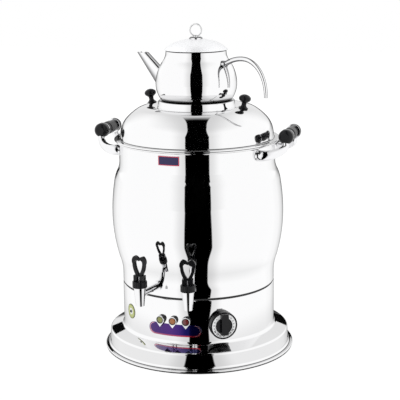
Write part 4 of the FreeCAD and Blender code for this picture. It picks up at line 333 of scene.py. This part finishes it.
rays = node(tree, "ShaderNodeLightPath").outputs
glow_share = math_node(tree, "MULTIPLY", rays["Is Camera Ray"],
                       soft_step(tree, from_urn, *GLOW_SHARE))
lit = mix_shaders(tree, glow_share, cloth, glow)
shown = mix_shaders(tree, rays["Is Glossy Ray"], lit, mirrored)
tree.links.new(shown.outputs[0], node(tree, "ShaderNodeOutputMaterial").inputs["Surface"])
floor.data.materials.append(paper)
print("floor laid")

# %% [markdown]
# The base's shoulder shows a small black wedge at the left and at the right. They are the
# openings in the tent behind the urn, so two black cards hang there. They are seen only in
# reflections, and only from below, so that the back of the tank doesn't mirror them.

# %% Cards
CARD_BEHIND = 0.6
# how steeply a ray falls on the card, and how clear the card is to it
CARD_FADE = ((0.09, 0.0), (0.13, 1.0))
# name, metres to the right, height of the middle, width, height
CARDS = (("left_card", -0.36, 0.28, 0.22, 0.18), ("right_card", 0.32, 0.14, 0.26, 0.16))

card_paint, tree = bare_material("card_black")
black = node(tree, "ShaderNodeBsdfDiffuse", Color=(0.004, 0.004, 0.004, 1))
clear = node(tree, "ShaderNodeBsdfTransparent")
falling = dot_with(tree, node(tree, "ShaderNodeNewGeometry").outputs["Incoming"], UP)
shown = mix_shaders(tree, soft_step(tree, falling, *CARD_FADE), black, clear)
tree.links.new(shown.outputs[0], node(tree, "ShaderNodeOutputMaterial").inputs["Surface"])
for name, side, middle, width, height in CARDS:
    bpy.ops.mesh.primitive_plane_add(size=1, location=(0, 0, 0))
    card = bpy.context.object
    card.name = name
    place = RIGHT * side - FRONT * CARD_BEHIND + UP * middle
    card.matrix_world = (Matrix.Translation(place) @ Matrix.Rotation(VIEW_AZIMUTH, 4, "Z")
                         @ Matrix.Rotation(math.pi / 2, 4, "X")
                         @ Matrix.Diagonal((width, height, 1, 1)))
    card.visible_camera = False
    card.visible_diffuse = False
    card.visible_shadow = False
    card.data.materials.append(card_paint)
print(len(CARDS), "cards hung")

# %% [markdown]
# ## Finishes
#
# One small shader group makes the marks that handling and polishing leave: a fine variation
# that feeds roughness and a very shallow bump. Each finish uses it with its own values.

# %% Polishing marks
BUMP_DISTANCE = 0.001


def polishing_marks():
    """Node group: Scale, Depth, Low and High in; Roughness from Low to High and Normal out."""
    group = bpy.data.node_groups.new("polishing_marks", "ShaderNodeTree")
    for name in ("Scale", "Depth", "Low", "High"):
        group.interface.new_socket(name, in_out="INPUT", socket_type="NodeSocketFloat")
    group.interface.new_socket("Roughness", in_out="OUTPUT", socket_type="NodeSocketFloat")
    group.interface.new_socket("Normal", in_out="OUTPUT", socket_type="NodeSocketVector")
    start = node(group, "NodeGroupInput").outputs
    end = node(group, "NodeGroupOutput").inputs
    noise = node(group, "ShaderNodeTexNoise", Detail=3.0)
    group.links.new(node(group, "ShaderNodeTexCoord").outputs["Object"], noise.inputs["Vector"])
    group.links.new(start["Scale"], noise.inputs["Scale"])
    spread = node(group, "ShaderNodeMapRange")
    group.links.new(noise.outputs["Fac"], spread.inputs["Value"])
    group.links.new(start["Low"], spread.inputs["To Min"])
    group.links.new(start["High"], spread.inputs["To Max"])
    group.links.new(spread.outputs["Result"], end["Roughness"])
    bump = node(group, "ShaderNodeBump", Distance=BUMP_DISTANCE)
    group.links.new(start["Depth"], bump.inputs["Strength"])
    group.links.new(noise.outputs["Fac"], bump.inputs["Height"])
    group.links.new(bump.outputs["Normal"], end["Normal"])
    return group


marks = polishing_marks()


def finish(name, colour, low, high, scale, depth, **sockets):
    """A material with polishing marks; low and high bound its roughness, scale and depth are the
    marks', and sockets are more inputs of its Principled BSDF."""
    material = bpy.data.materials.new(name)
    material.use_nodes = True
    tree = material.node_tree
    shader = tree.nodes["Principled BSDF"]
    shader.inputs["Base Color"].default_value = (*colour, 1)
    for socket, value in sockets.items():
        shader.inputs[socket.replace("_", " ")].default_value = value
    group = node(tree, "ShaderNodeGroup", node_tree=marks)
    for socket, value in (("Scale", scale), ("Depth", depth), ("Low", low), ("High", high)):
        group.inputs[socket].default_value = value
    for socket in ("Roughness", "Normal"):
        tree.links.new(group.outputs[socket], shader.inputs[socket])
    return material


def colour_socket(material):
    """The socket that takes a finish's colour."""
    return material.node_tree.nodes["Principled BSDF"].inputs["Base Color"]


STEEL = (0.82, 0.82, 0.825)
MIRROR_MARKS = (9.0, 0.02)
mirror_steel = finish("mirror_steel", STEEL, 0.02, 0.05, *MIRROR_MARKS, Metallic=1.0)
rod_steel = finish("rod_steel", STEEL, 0.05, 0.09, 40.0, 0.03, Metallic=1.0)
chrome = finish("chrome", (0.8, 0.8, 0.81), 0.03, 0.07, 60.0, 0.03, Metallic=1.0)
plain_steel = finish("plain_steel", (0.55, 0.55, 0.57), 0.25, 0.4, 120.0, 0.08, Metallic=1.0)
dark_screw = finish("dark_screw", (0.06, 0.06, 0.065), 0.3, 0.45, 120.0, 0.05, Metallic=1.0)
brass = finish("brass", (0.72, 0.55, 0.26), 0.2, 0.35, 90.0, 0.05, Metallic=1.0)
bakelite = finish("black_bakelite", (0.006, 0.006, 0.007), 0.2, 0.3, 150.0, 0.05,
                  Specular_IOR_Level=0.22)
dull_plastic = finish("dull_plastic", (0.04, 0.04, 0.042), 0.45, 0.6, 200.0, 0.1)
rubber = finish("black_rubber", (0.02, 0.02, 0.02), 0.55, 0.75, 220.0, 0.15)
silicone = finish("white_silicone", (0.75, 0.75, 0.72), 0.4, 0.5, 150.0, 0.05)
ceramic = finish("white_ceramic", (0.82, 0.81, 0.78), 0.35, 0.5, 180.0, 0.08)
dial_white = finish("dial_white", (0.9, 0.9, 0.89), 0.3, 0.4, 120.0, 0.02)
ink = finish("black_ink", (0.015, 0.015, 0.016), 0.5, 0.6, 150.0, 0.0)
print("finishes made")

# %% [markdown]
# The thin rods on the teapot mirror the whole room in a few millimetres, so the darkness
# around the tent is squeezed into a line along each edge. That line is a painted reflection:
# their colour falls off towards the edge, to keep it at any size of picture.

# %% Painted reflection on the edges of the rods
# how far the surface turns away from the view, and its colour there
ROD_EDGE_REFLECTION = ((0.0, (0.9, 0.9, 0.9)), (0.2, (0.82, 0.82, 0.83)), (0.42, (0.3, 0.3, 0.305)),
            (0.7, (0.04, 0.04, 0.042)))
tree = rod_steel.node_tree
turned_away = node(tree, "ShaderNodeLayerWeight", Blend=0.5).outputs["Facing"]
# painted reflection: the base colour darkens as the surface turns away from the view
tree.links.new(colour_ramp(tree, turned_away, ROD_EDGE_REFLECTION), colour_socket(rod_steel))
print("rods darkened at their edges")

# %% [markdown]
# The creases where two sheets meet or a bead is rolled are painted dark as the shade of the
# sheet above. On the real urn these are the thin black lines at the beads. A second group gives
# a mask between two heights, and the shells take a copy of the mirror finish with such painted
# shade lines at their own creases. The teapot's lid is brushed, so its copy is rougher and paler.

# %% Painted shade in the creases
# the colour of the painted shade in the creases
CREASE_SHADE_COLOUR = (0.012, 0.012, 0.013)
BRUSHED = (0.95, 0.95, 0.955)


def crease_mask():
    """Node group: 1 between Low and High on the object's Z in metres, soft over Soft."""
    group = bpy.data.node_groups.new("crease_shade", "ShaderNodeTree")
    for name in ("Low", "High", "Soft"):
        group.interface.new_socket(name, in_out="INPUT", socket_type="NodeSocketFloat")
    group.interface.new_socket("Mask", in_out="OUTPUT", socket_type="NodeSocketFloat")
    start = node(group, "NodeGroupInput").outputs
    end = node(group, "NodeGroupOutput").inputs
    split = node(group, "ShaderNodeSeparateXYZ")
    group.links.new(node(group, "ShaderNodeTexCoord").outputs["Object"], split.inputs[0])
    height = split.outputs["Z"]
    inside = math_node(group, "MINIMUM", math_node(group, "SUBTRACT", height, start["Low"]),
                       math_node(group, "SUBTRACT", start["High"], height))
    share = math_node(group, "DIVIDE", inside, start["Soft"])
    share = math_node(group, "MINIMUM", math_node(group, "MAXIMUM", share, 0.0), 1.0)
    group.links.new(share, end["Mask"])
    return group


crease_shade = crease_mask()


def creased(name, lines, steel=STEEL, low=0.02, high=0.05, metallic=1.0):
    """The mirror finish with lines of painted shade; each is (foot, top, softness) in
    millimetres.
    """
    material = finish(name, steel, low, high, *MIRROR_MARKS, Metallic=metallic)
    tree = material.node_tree
    colour = steel
    for foot, top, soft in lines:
        mask = node(tree, "ShaderNodeGroup", node_tree=crease_shade, Low=foot * MM, High=top * MM,
                    Soft=soft * MM)
        colour = print_over(tree, mask.outputs["Mask"], colour, CREASE_SHADE_COLOUR)
    tree.links.new(colour, colour_socket(material))
    return material


# each line is a band of painted shade at a crease or under a bead
base_steel = creased("base_steel", [(5.9, 7.2, 0.5)])
tank_steel = creased("tank_steel", [(147.8, 149.5, 0.5), (451.9, 453.3, 0.4)])
lid_steel = creased("lid_steel", [(456.6, 457.6, 0.3), (460.0, 461.4, 0.5)])
collar_steel = creased("collar_steel", [(523.9, 525.2, 0.5), (538.9, 541.0, 0.8)])
pot_steel = creased("pot_steel", [(535.6, 548.0, 5.0), (643.4, 646.0, 0.6)])
pot_lid_steel = creased("pot_lid_steel", [(645.2, 646.2, 0.3)], BRUSHED, 0.36, 0.42, 0.4)
print("creases darkened")

# %% [markdown]
# ## Printed plates and lamps
#
# The plates on the urn are thin printed foils that follow the round wall. Their borders and
# colours depend on how far a point is from the middle of the plate, so one group turns the
# object's own coordinates into millimetres along the wall and up it. The prints are then
# masks of those two distances. No words or marks are printed: the places are finished as
# plain plates.

# %% Distances on a round wall
WALL_RADIUS = 165.8


def wall_distances():
    """Node group: millimetres along and up a round wall from a point on it."""
    group = bpy.data.node_groups.new("wall_distances", "ShaderNodeTree")
    for name in ("Azimuth", "Height", "Radius"):
        group.interface.new_socket(name, in_out="INPUT", socket_type="NodeSocketFloat")
    for name in ("Along", "Up", "Distance"):
        group.interface.new_socket(name, in_out="OUTPUT", socket_type="NodeSocketFloat")
    start = node(group, "NodeGroupInput").outputs
    end = node(group, "NodeGroupOutput").inputs
    split = node(group, "ShaderNodeSeparateXYZ")
    group.links.new(node(group, "ShaderNodeTexCoord").outputs["Object"], split.inputs[0])
    toward = math_node(group, "MULTIPLY", split.outputs["Y"], -1.0)
    angle = math_node(group, "ARCTAN2", split.outputs["X"], toward)
    angle = math_node(group, "SUBTRACT", angle, start["Azimuth"])
    along = product(group, angle, start["Radius"], 1 / MM)
    above = math_node(group, "SUBTRACT", split.outputs["Z"], start["Height"])
    above = math_node(group, "MULTIPLY", above, 1 / MM)
    group.links.new(along, end["Along"])
    group.links.new(above, end["Up"])
    group.links.new(distance(group, along, above), end["Distance"])
    return group


on_wall = wall_distances()


def printed(material, azimuth, height, radius):
    """Puts a plate's middle into a finish; returns its tree and the distances from there."""
    tree = material.node_tree
    place = node(tree, "ShaderNodeGroup", node_tree=on_wall, Azimuth=math.radians(azimuth),
                 Height=height * MM, Radius=radius * MM)
    return tree, place.outputs


def beyond(tree, value, limit):
    """How far the size of value goes past a limit; less than 0 inside it."""
    return math_node(tree, "SUBTRACT", math_node(tree, "ABSOLUTE", value), limit)


print("distances ready")

# %% [markdown]
# The pill-shaped panel shines like metal foil: violet at the left, navy at the right, with a
# soft red edge below and a thin pale line round both ends.

# %% Lamp panel
PANEL_LENGTH = 115.6
PANEL_STRAIGHT = 44.8
RED_EDGE = ((9.6, 0.0), (10.4, 1.0))
RED_BELOW = ((-6.0, 1.0), (-2.0, 0.0))
LINE_IN = ((10.9, 0.0), (11.2, 1.0))
LINE_OUT = ((12.0, 1.0), (12.3, 0.0))
LINE_AT_ENDS = ((0.0, 0.0), (2.0, 1.0))

violet = finish("violet_foil", (0.1, 0.04, 0.3), 0.10, 0.16, 120.0, 0.02, Metallic=0.85)
tree, place = printed(violet, -2, 78.5, WALL_RADIUS)
from_left = math_node(tree, "MULTIPLY_ADD", place["Along"], 1 / PANEL_LENGTH, 0.5)
foil = colour_ramp(tree, from_left, [
    (0.0, (0.09, 0.05, 0.17)), (0.15, (0.075, 0.036, 0.17)), (0.45, (0.08, 0.028, 0.19)),
    (0.6, (0.05, 0.018, 0.17)), (0.72, (0.008, 0.005, 0.11)), (1.0, (0.002, 0.002, 0.07))])
red = colour_ramp(tree, from_left, [
    (0.0, (0.34, 0.12, 0.2)), (0.5, (0.40, 0.08, 0.16)), (0.85, (0.55, 0.02, 0.05))])
past_end = math_node(tree, "MAXIMUM", beyond(tree, place["Along"], PANEL_STRAIGHT), 0.0)
from_spine = distance(tree, past_end, place["Up"])
red_mask = product(tree, soft_step(tree, from_spine, *RED_EDGE),
                   soft_step(tree, place["Up"], *RED_BELOW))
foil = print_over(tree, red_mask, foil, red)
line_mask = product(tree, soft_step(tree, from_spine, *LINE_IN),
                    soft_step(tree, from_spine, *LINE_OUT),
                    soft_step(tree, past_end, *LINE_AT_ENDS))
foil = print_over(tree, line_mask, foil, (0.85, 0.45, 0.5))
tree.links.new(foil, colour_socket(violet))
print("panel printed")

# %% [markdown]
# The plate on the neck stays blank: a dark blue field with a red border and a thin pale rim.
# Its border keeps one width all round, so it is a mask of the distance from the plate's edge.

# %% Blank plate on the neck
PLATE_HALF_WIDTH = 23.5
PLATE_HALF_HEIGHT = 10.5
PLATE_BORDER = ((-2.6, 0.0), (-2.3, 1.0))
PLATE_RIM = ((-1.1, 0.0), (-0.9, 1.0))

navy = finish("navy_foil", (0.02, 0.015, 0.08), 0.15, 0.25, 120.0, 0.02, Metallic=0.2)
tree, place = printed(navy, -3.5, 437, 167.6)
from_edge = math_node(tree, "MAXIMUM", beyond(tree, place["Along"], PLATE_HALF_WIDTH),
                      beyond(tree, place["Up"], PLATE_HALF_HEIGHT))
foil = print_over(tree, soft_step(tree, from_edge, *PLATE_BORDER), (0.016, 0.012, 0.07),
                  (0.55, 0.02, 0.05))
foil = print_over(tree, soft_step(tree, from_edge, *PLATE_RIM), foil, (0.7, 0.68, 0.72))
tree.links.new(foil, colour_socket(navy))
print("plate printed")

# %% [markdown]
# The disc at the side is a yellow print, pale round its screw and darker at the edge. It is
# round, so one ramp over the distance from its middle holds all its rings.

# %% Round disc at the side
DISC_RADIUS = 16.0

yellow = finish("yellow_disc", (0.45, 0.48, 0.16), 0.35, 0.45, 120.0, 0.02)
tree, place = printed(yellow, -44.5, 96.3, WALL_RADIUS)
disc = colour_ramp(tree, math_node(tree, "MULTIPLY", place["Distance"], 1 / DISC_RADIUS), [
    (0.0, (0.8, 0.8, 0.78)), (0.44, (0.8, 0.8, 0.78)), (0.48, (0.40, 0.43, 0.12)),
    (0.62, (0.52, 0.56, 0.22)), (0.88, (0.36, 0.40, 0.12)), (0.94, (0.10, 0.11, 0.03))])
tree.links.new(disc, colour_socket(yellow))
print("disc printed")

# %% [markdown]
# A lamp that is off looks like a dark bead: its colour shows in the middle, and the rim,
# where the lens is thick and turns away, is painted nearly black as shade.

# %% Lamp lenses
LAMP_HEIGHT = 100
LENS_RADIUS = 172.8
LENS_RIM_SHADE = ((5.0, 0.0), (6.6, 1.0))
RIM_SHADE_SHARE = 0.12


def lens(name, colour, azimuth):
    """Coloured lens of a lamp, with painted shade darkening its rim."""
    material = finish(name, colour, 0.08, 0.12, 90.0, 0.02, Coat_Weight=0.5)
    tree, place = printed(material, azimuth, LAMP_HEIGHT, LENS_RADIUS)
    # painted shade: the rim takes a darkened copy of the lens colour
    dark = tuple(value * RIM_SHADE_SHARE for value in colour)
    rim_shade = soft_step(tree, place["Distance"], *LENS_RIM_SHADE)
    tree.links.new(print_over(tree, rim_shade, colour, dark), colour_socket(material))
    return material


green_lens = lens("green_lens", (0.24, 0.25, 0.06), -11.6)
amber_lens = lens("amber_lens", (0.36, 0.12, 0.02), -2.1)
red_lens = lens("red_lens", (0.13, 0.02, 0.02), 7.4)
print("lenses made")

# %% [markdown]
# ## The measured solids get their finishes
#
# Each solid names a finish in its record. Most keep their measured shape, and only need a
# material.

# %% Finishes on the solids
by_slot = {
    "polished_steel": mirror_steel, "chrome": chrome, "plain_steel": plain_steel, "brass": brass,
    "black_plastic": bakelite, "dark_plastic": dull_plastic, "black_rubber": rubber,
    "white_silicone": silicone, "green_lens": green_lens, "amber_lens": amber_lens,
    "red_lens": red_lens, "violet_panel": violet, "blue_plate": navy, "yellow_disc": yellow,
    "white_ceramic": ceramic, "white_dial": dial_white,
}
for part in frame["record"]["subparts"]:
    for slot in nodes[part["node"]].material_slots:
        slot.material = by_slot[part["material_slot"]]
nodes["side_disc_screw"].material_slots[0].material = dark_screw
for name in ("teapot_spout", "teapot_handle", "ring_base", "ring_knob"):
    nodes[name].material_slots[0].material = rod_steel
print("finishes on", len(nodes), "solids")

# %% [markdown]
# ## Spinning sheet metal
#
# The big shells of a real urn are flat discs of sheet steel pressed over a turning form. Here
# the same shapes are made the same way: a single vertex is extruded along half the outline,
# the line is spun round the axis, and Solidify gives the sheet its thickness on the inside.
# Outlines are lists of (radius, height) corners in millimetres. A third number is the radius
# of the arc that arrives at the corner, positive with its centre on the left of the way. A
# mirror finish needs many small steps, but the tight bends of a bead are too small to show
# them.

# %% Outlines
TIGHT_BEND = 3
TIGHT_STEP = 5


def arc(start, end, bend, step):
    """Points after start up to end, in the XZ plane, on an arc of a signed radius."""
    way = end - start
    side = math.copysign(1, bend)
    left = Vector((-way.z, 0, way.x)).normalized() * side
    reach = way.length / 2
    centre = (start + end) / 2 + left * math.sqrt(bend * bend - reach * reach)
    turn = 2 * math.asin(reach / abs(bend)) * side
    count = max(2, math.ceil(abs(math.degrees(turn)) / step))
    arm = start - centre
    points = []
    for index in range(1, count):
        cosine, sine = math.cos(turn * index / count), math.sin(turn * index / count)
        points.append(centre + Vector((arm.x * cosine - arm.z * sine, 0,
                                       arm.x * sine + arm.z * cosine)))
    return points + [end]


def outline_points(corners, step):
    """An outline's corners and arcs as points in metres; step is an arc's, in degrees."""
    points = [Vector((corners[0][0], 0, corners[0][1]))]
    for radius, height, *bend in corners[1:]:
        end = Vector((radius, 0, height))
        if not bend:
            points.append(end)
        elif abs(bend[0]) <= TIGHT_BEND:
            points += arc(points[-1], end, bend[0], max(step, TIGHT_STEP))
        else:
            points += arc(points[-1], end, bend[0], step)
    return [point * MM for point in points]


print("outlines ready")

# %% [markdown]
# A metal spinner works each shell with the same steps, so one function makes them all: outline,
# spin, weld of the seam, thickness and soft shading. It checks on the first strip of faces that
# the outline's left is the inside, and then gives the shell its finish and the body it rides on.

# %% The lathe
WELD = 1e-6
CREASE_ANGLE = math.radians(32)


def edit_mode():
    """Edit mode with everything in the active mesh selected."""
    bpy.ops.object.mode_set(mode="EDIT")
    bpy.ops.mesh.select_all(action="SELECT")


def deselect():
    """Nothing selected, in object mode."""
    if bpy.context.mode != "OBJECT":
        bpy.ops.object.mode_set(mode="OBJECT")
    bpy.ops.object.select_all(action="DESELECT")


def spin_sheet(name, corners, sheet, body, replaced, look, step=2.5, turns=180):
    """A shell spun about the urn's axis, with the sheet on the left of its outline."""
    points = outline_points(corners, step)
    deselect()
    bpy.ops.mesh.primitive_plane_add(size=0.01, location=(0, 0, 0))
    piece = bpy.context.object
    piece.name = name
    edit_mode()
    bpy.ops.mesh.merge(type="CENTER")
    bpy.ops.transform.translate(value=points[0])
    for start, end in zip(points, points[1:]):
        bpy.ops.mesh.extrude_region_move(TRANSFORM_OT_translate={"value": end - start})
    bpy.ops.mesh.select_all(action="SELECT")
    bpy.ops.mesh.spin(steps=turns, angle=math.tau, center=(0, 0, 0), axis=(0, 0, 1))
    bpy.ops.mesh.select_all(action="SELECT")
    bpy.ops.mesh.remove_doubles(threshold=WELD)
    bpy.ops.mesh.normals_make_consistent(inside=False)
    bpy.ops.object.mode_set(mode="OBJECT")
    way = points[1] - points[0]
    middle = (points[0] + points[1]) / 2
    first = min(piece.data.polygons, key=lambda face: (face.center - middle).length)
    if first.normal.dot(Vector((way.z, 0, -way.x))) < 0:
        edit_mode()
        bpy.ops.mesh.flip_normals()
        bpy.ops.object.mode_set(mode="OBJECT")
    wall = piece.modifiers.new("sheet", "SOLIDIFY")
    wall.thickness = sheet * MM
    wall.offset = -1
    wall.use_even_offset = True
    bpy.ops.object.modifier_apply(modifier=wall.name)
    bpy.ops.object.shade_smooth_by_angle(angle=CREASE_ANGLE)
    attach(piece, body)
    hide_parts(replaced)
    piece.data.materials.append(look)
    low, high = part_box(replaced)
    tall = [vertex.co.z for vertex in piece.data.vertices]
    print(name, len(piece.data.polygons), "faces, height", round(min(tall), 4),
          round(max(tall), 4), "measured", round(low.z, 4), round(high.z, 4))


print("lathe ready")

# %% [markdown]
# ## The base
#
# The base is one spinning: a rolled rim that grips the rubber ring, a steep skirt with a
# rounded shoulder, and the housing wall with its inward seat for the tank. The shoulder's
# line is tangent to both of its arcs, as metal that is pressed over a smooth form would be.

# %% Base shell
spin_sheet("base_skin", [
    (202.5, 2), (205, 2), (207, 4, 2), (205, 6, 2), (203, 6), (197, 12, -6), (195.8, 35.5),
    (192.469, 40.2132, 5), (170.5295, 47.9824), (165.2, 55.5235, -8), (165.2, 143),
    (163.2, 145, 2), (156, 145)],
    1.0, "urn", "base_shell", base_steel)

# %% [markdown]
# ## The tank
#
# The tank wall swells from a straight foot to a belly, draws in under the neck and ends in a
# rolled mouth. Long arcs make the swell, so the dark band bends softly where they meet, as on
# the real one.

# %% Tank wall
spin_sheet("tank_skin", [
    (156, 148), (162.9, 148), (164.9, 150, 2), (164.9, 167), (171.6, 204, -110),
    (185.1, 300, 345), (179.6, 366, 400), (171.5, 393, 75), (167.3, 410, -45), (167.3, 449.5),
    (170.3, 452.5, -3), (172, 452.5), (174, 454.5, 2), (172, 456.5, 2), (170, 456.5)],
    1.2, "urn", "tank_wall", tank_steel, step=1.5)

# %% [markdown]
# ## The lid and the teapot's collar
#
# The lid has a skirt that locates it in the tank's mouth, a rounded flange that rests on the
# roll, and a high dome that turns in under the collar. The collar is a second, smaller
# spinning with a rolled lip and a ledge, on which the teapot stands.

# %% Lid shell and collar
spin_sheet("lid_skin", [
    (165.3, 445.8), (165.3, 456.8), (175.6, 456.8), (177.3, 458.5, 1.7), (175.6, 460.2, 1.7),
    (167.5, 460.2), (165, 462.7, -2.5), (163.6, 474), (150, 503, 51.6), (129, 520.7, 118),
    (92, 527.2, 47.1), (84, 524), (60, 524)],
    1.0, "lid", "lid_shell", lid_steel, step=1.5)
spin_sheet("collar_skin", [
    (76, 524.05), (84, 524.05), (81.3, 537.55), (78.3, 540.55, 3), (76.6, 540.55),
    (75.4, 539.35, 1.2), (75.4, 537.05), (73.9, 535.55, -1.5), (64, 535.55)],
    1.0, "lid", "teapot_collar", collar_steel, step=6, turns=144)

# %% [markdown]
# ## The teapot
#
# The pot is spun from one disc too, so its outline starts on the axis and the flat base
# closes at a pole. Its lid is a shallow dome with a bead that rests on the mouth and a skirt
# that drops inside.

# %% Teapot body and lid
spin_sheet("teapot_skin", [
    (0, 535.85), (66, 535.85), (74, 539.65, 10.3), (86.5, 575.05, 56.4), (70.86, 622.77, 80.6),
    (64.4, 640.85, -33.5), (64, 645.05)],
    0.8, "teapot", "teapot_body", pot_steel, turns=160)
spin_sheet("teapot_lid_skin", [
    (62.6, 639.15), (62.6, 645.35), (65.8, 645.35), (66.8, 646.35, 1), (65.8, 647.35, 1),
    (45, 661.35, 50), (2.57, 669.15, 134)],
    0.8, "teapot_cover", "teapot_lid", pot_lid_steel, turns=144)

# %% [markdown]
# ## Valve springs
#
# The spring in each tap is wound wire between the tap's cap and the seat cup. A small circle
# is screwed round an axis and its two ends are closed. It sits between the urn and the valve,
# and on the real tap it is pressed together when the lever opens the tap.

# %% Valve springs
WIRE_RADIUS = 0.6 * MM
WIRE_SIDES = 10
WINDINGS = 6
STEPS_PER_WINDING = 28
WIRE_SMOOTH = math.radians(50)

for side in ("left", "right"):
    sleeve = side + "_tap_spring"
    low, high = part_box(sleeve)
    middle = (low + high) / 2
    coil_radius = (high.x - low.x) / 2 - WIRE_RADIUS
    deselect()
    bpy.ops.mesh.primitive_circle_add(
        vertices=WIRE_SIDES, radius=WIRE_RADIUS, rotation=(math.pi / 2, 0, 0),
        location=(coil_radius, 0, WIRE_RADIUS))
    spring = bpy.context.object
    spring.name = side + "_valve_spring"
    bpy.ops.object.transform_apply(location=True, rotation=True, scale=True)
    winding = spring.modifiers.new("winding", "SCREW")
    winding.axis = "Z"
    winding.angle = math.tau * WINDINGS
    winding.screw_offset = high.z - low.z - 2 * WIRE_RADIUS
    winding.steps = winding.render_steps = STEPS_PER_WINDING * WINDINGS
    bpy.ops.object.modifier_apply(modifier=winding.name)
    edit_mode()
    bpy.ops.mesh.fill_holes(sides=WIRE_SIDES)
    bpy.ops.mesh.select_all(action="SELECT")
    bpy.ops.mesh.normals_make_consistent(inside=False)
    bpy.ops.transform.translate(value=(middle.x, middle.y, low.z))
    bpy.ops.object.mode_set(mode="OBJECT")
    bpy.ops.object.shade_smooth_by_angle(angle=WIRE_SMOOTH)
    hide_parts(sleeve)
    spring.data.materials.append(plain_steel)
    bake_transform(spring)
    print(spring.name, len(spring.data.polygons), "faces")

# %% [markdown]
# ## Marks on the dial
#
# The knob carries a white ring with plain temperatures and dots. Each number is a text object
# made into a mesh, turned round the dial so that its foot points to the middle, and laid on
# the ring. The dots are small raised discs with an inner edge, one made and the others
# copied.

# %% Dial marks
DIAL_AZIMUTH = math.radians(33.5)
MARK_RING = 21.6 * MM
MARK_LIFT = 0.03 * MM
NUMBERS = range(30, 100, 10)
NUMBER_SIZE = 6.2 * MM
NUMBER_WEIGHT = 0.16 * MM
NUMBER_DEPTH = 0.05 * MM
FIRST_NUMBER = 120
NUMBER_STEP = 20
DOT_RADIUS = 1.15 * MM
DOT_DEPTH = 0.12 * MM
DOT_EDGE = 0.15 * MM
DOTS = (46, 66, 84, 102, 258, 276, 294, 314)

outward = Vector((math.sin(DIAL_AZIMUTH), -math.cos(DIAL_AZIMUTH), 0))
sideways = Vector((math.cos(DIAL_AZIMUTH), math.sin(DIAL_AZIMUTH), 0))
ring_low, ring_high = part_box("thermostat_dial")
face = max(vertex.co.dot(outward) for vertex in nodes["thermostat_dial"].data.vertices)
dial_middle = outward * face + UP * ((ring_low.z + ring_high.z) / 2)


def on_dial(degrees):
    """Place on the dial at an angle clockwise from its top, with its foot to the middle."""
    turn = math.radians(degrees)
    across = sideways * math.cos(turn) - UP * math.sin(turn)
    up = sideways * math.sin(turn) + UP * math.cos(turn)
    place = Matrix((across, up, outward)).transposed().to_4x4()
    place.translation = dial_middle + up * MARK_RING + outward * MARK_LIFT
    return place


marks_made = []
for index, value in enumerate(NUMBERS):
    deselect()
    bpy.ops.object.text_add()
    number = bpy.context.object
    number.data.body = str(value)
    number.data.size = NUMBER_SIZE
    number.data.offset = NUMBER_WEIGHT
    number.data.align_x = "CENTER"
    number.data.align_y = "CENTER"
    number.data.extrude = NUMBER_DEPTH
    number.data.resolution_u = 3
    bpy.ops.object.convert(target="MESH")
    number.matrix_world = on_dial(FIRST_NUMBER + NUMBER_STEP * index)
    marks_made.append(number)
deselect()
bpy.ops.mesh.primitive_circle_add(vertices=20, radius=DOT_RADIUS, fill_type="NGON")
dot = bpy.context.object
bpy.ops.object.mode_set(mode="EDIT")
bpy.ops.mesh.extrude_region_move(TRANSFORM_OT_translate={"value": (0, 0, DOT_DEPTH)})
bpy.ops.mesh.inset(thickness=DOT_EDGE)
bpy.ops.object.mode_set(mode="OBJECT")
for degrees in DOTS:
    copy = dot.copy()
    copy.data = dot.data.copy()
    scene.collection.objects.link(copy)
    copy.matrix_world = on_dial(degrees)
    marks_made.append(copy)
bpy.data.objects.remove(dot)

# %% [markdown]
# All marks are one print on the real ring, so they are joined into one piece, which turns
# with the knob.

# %% One print
deselect()
for mark in marks_made:
    mark.select_set(True)
bpy.context.view_layer.objects.active = marks_made[0]
bpy.ops.object.transform_apply(location=True, rotation=True, scale=True)
bpy.ops.object.join()
dial_marks = bpy.context.object
dial_marks.name = "dial_marks"
dial_marks.data.materials.clear()
dial_marks.data.materials.append(ink)
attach(dial_marks, "temperature_knob")
print("dial marks", len(marks_made), "with", len(dial_marks.data.polygons), "faces")
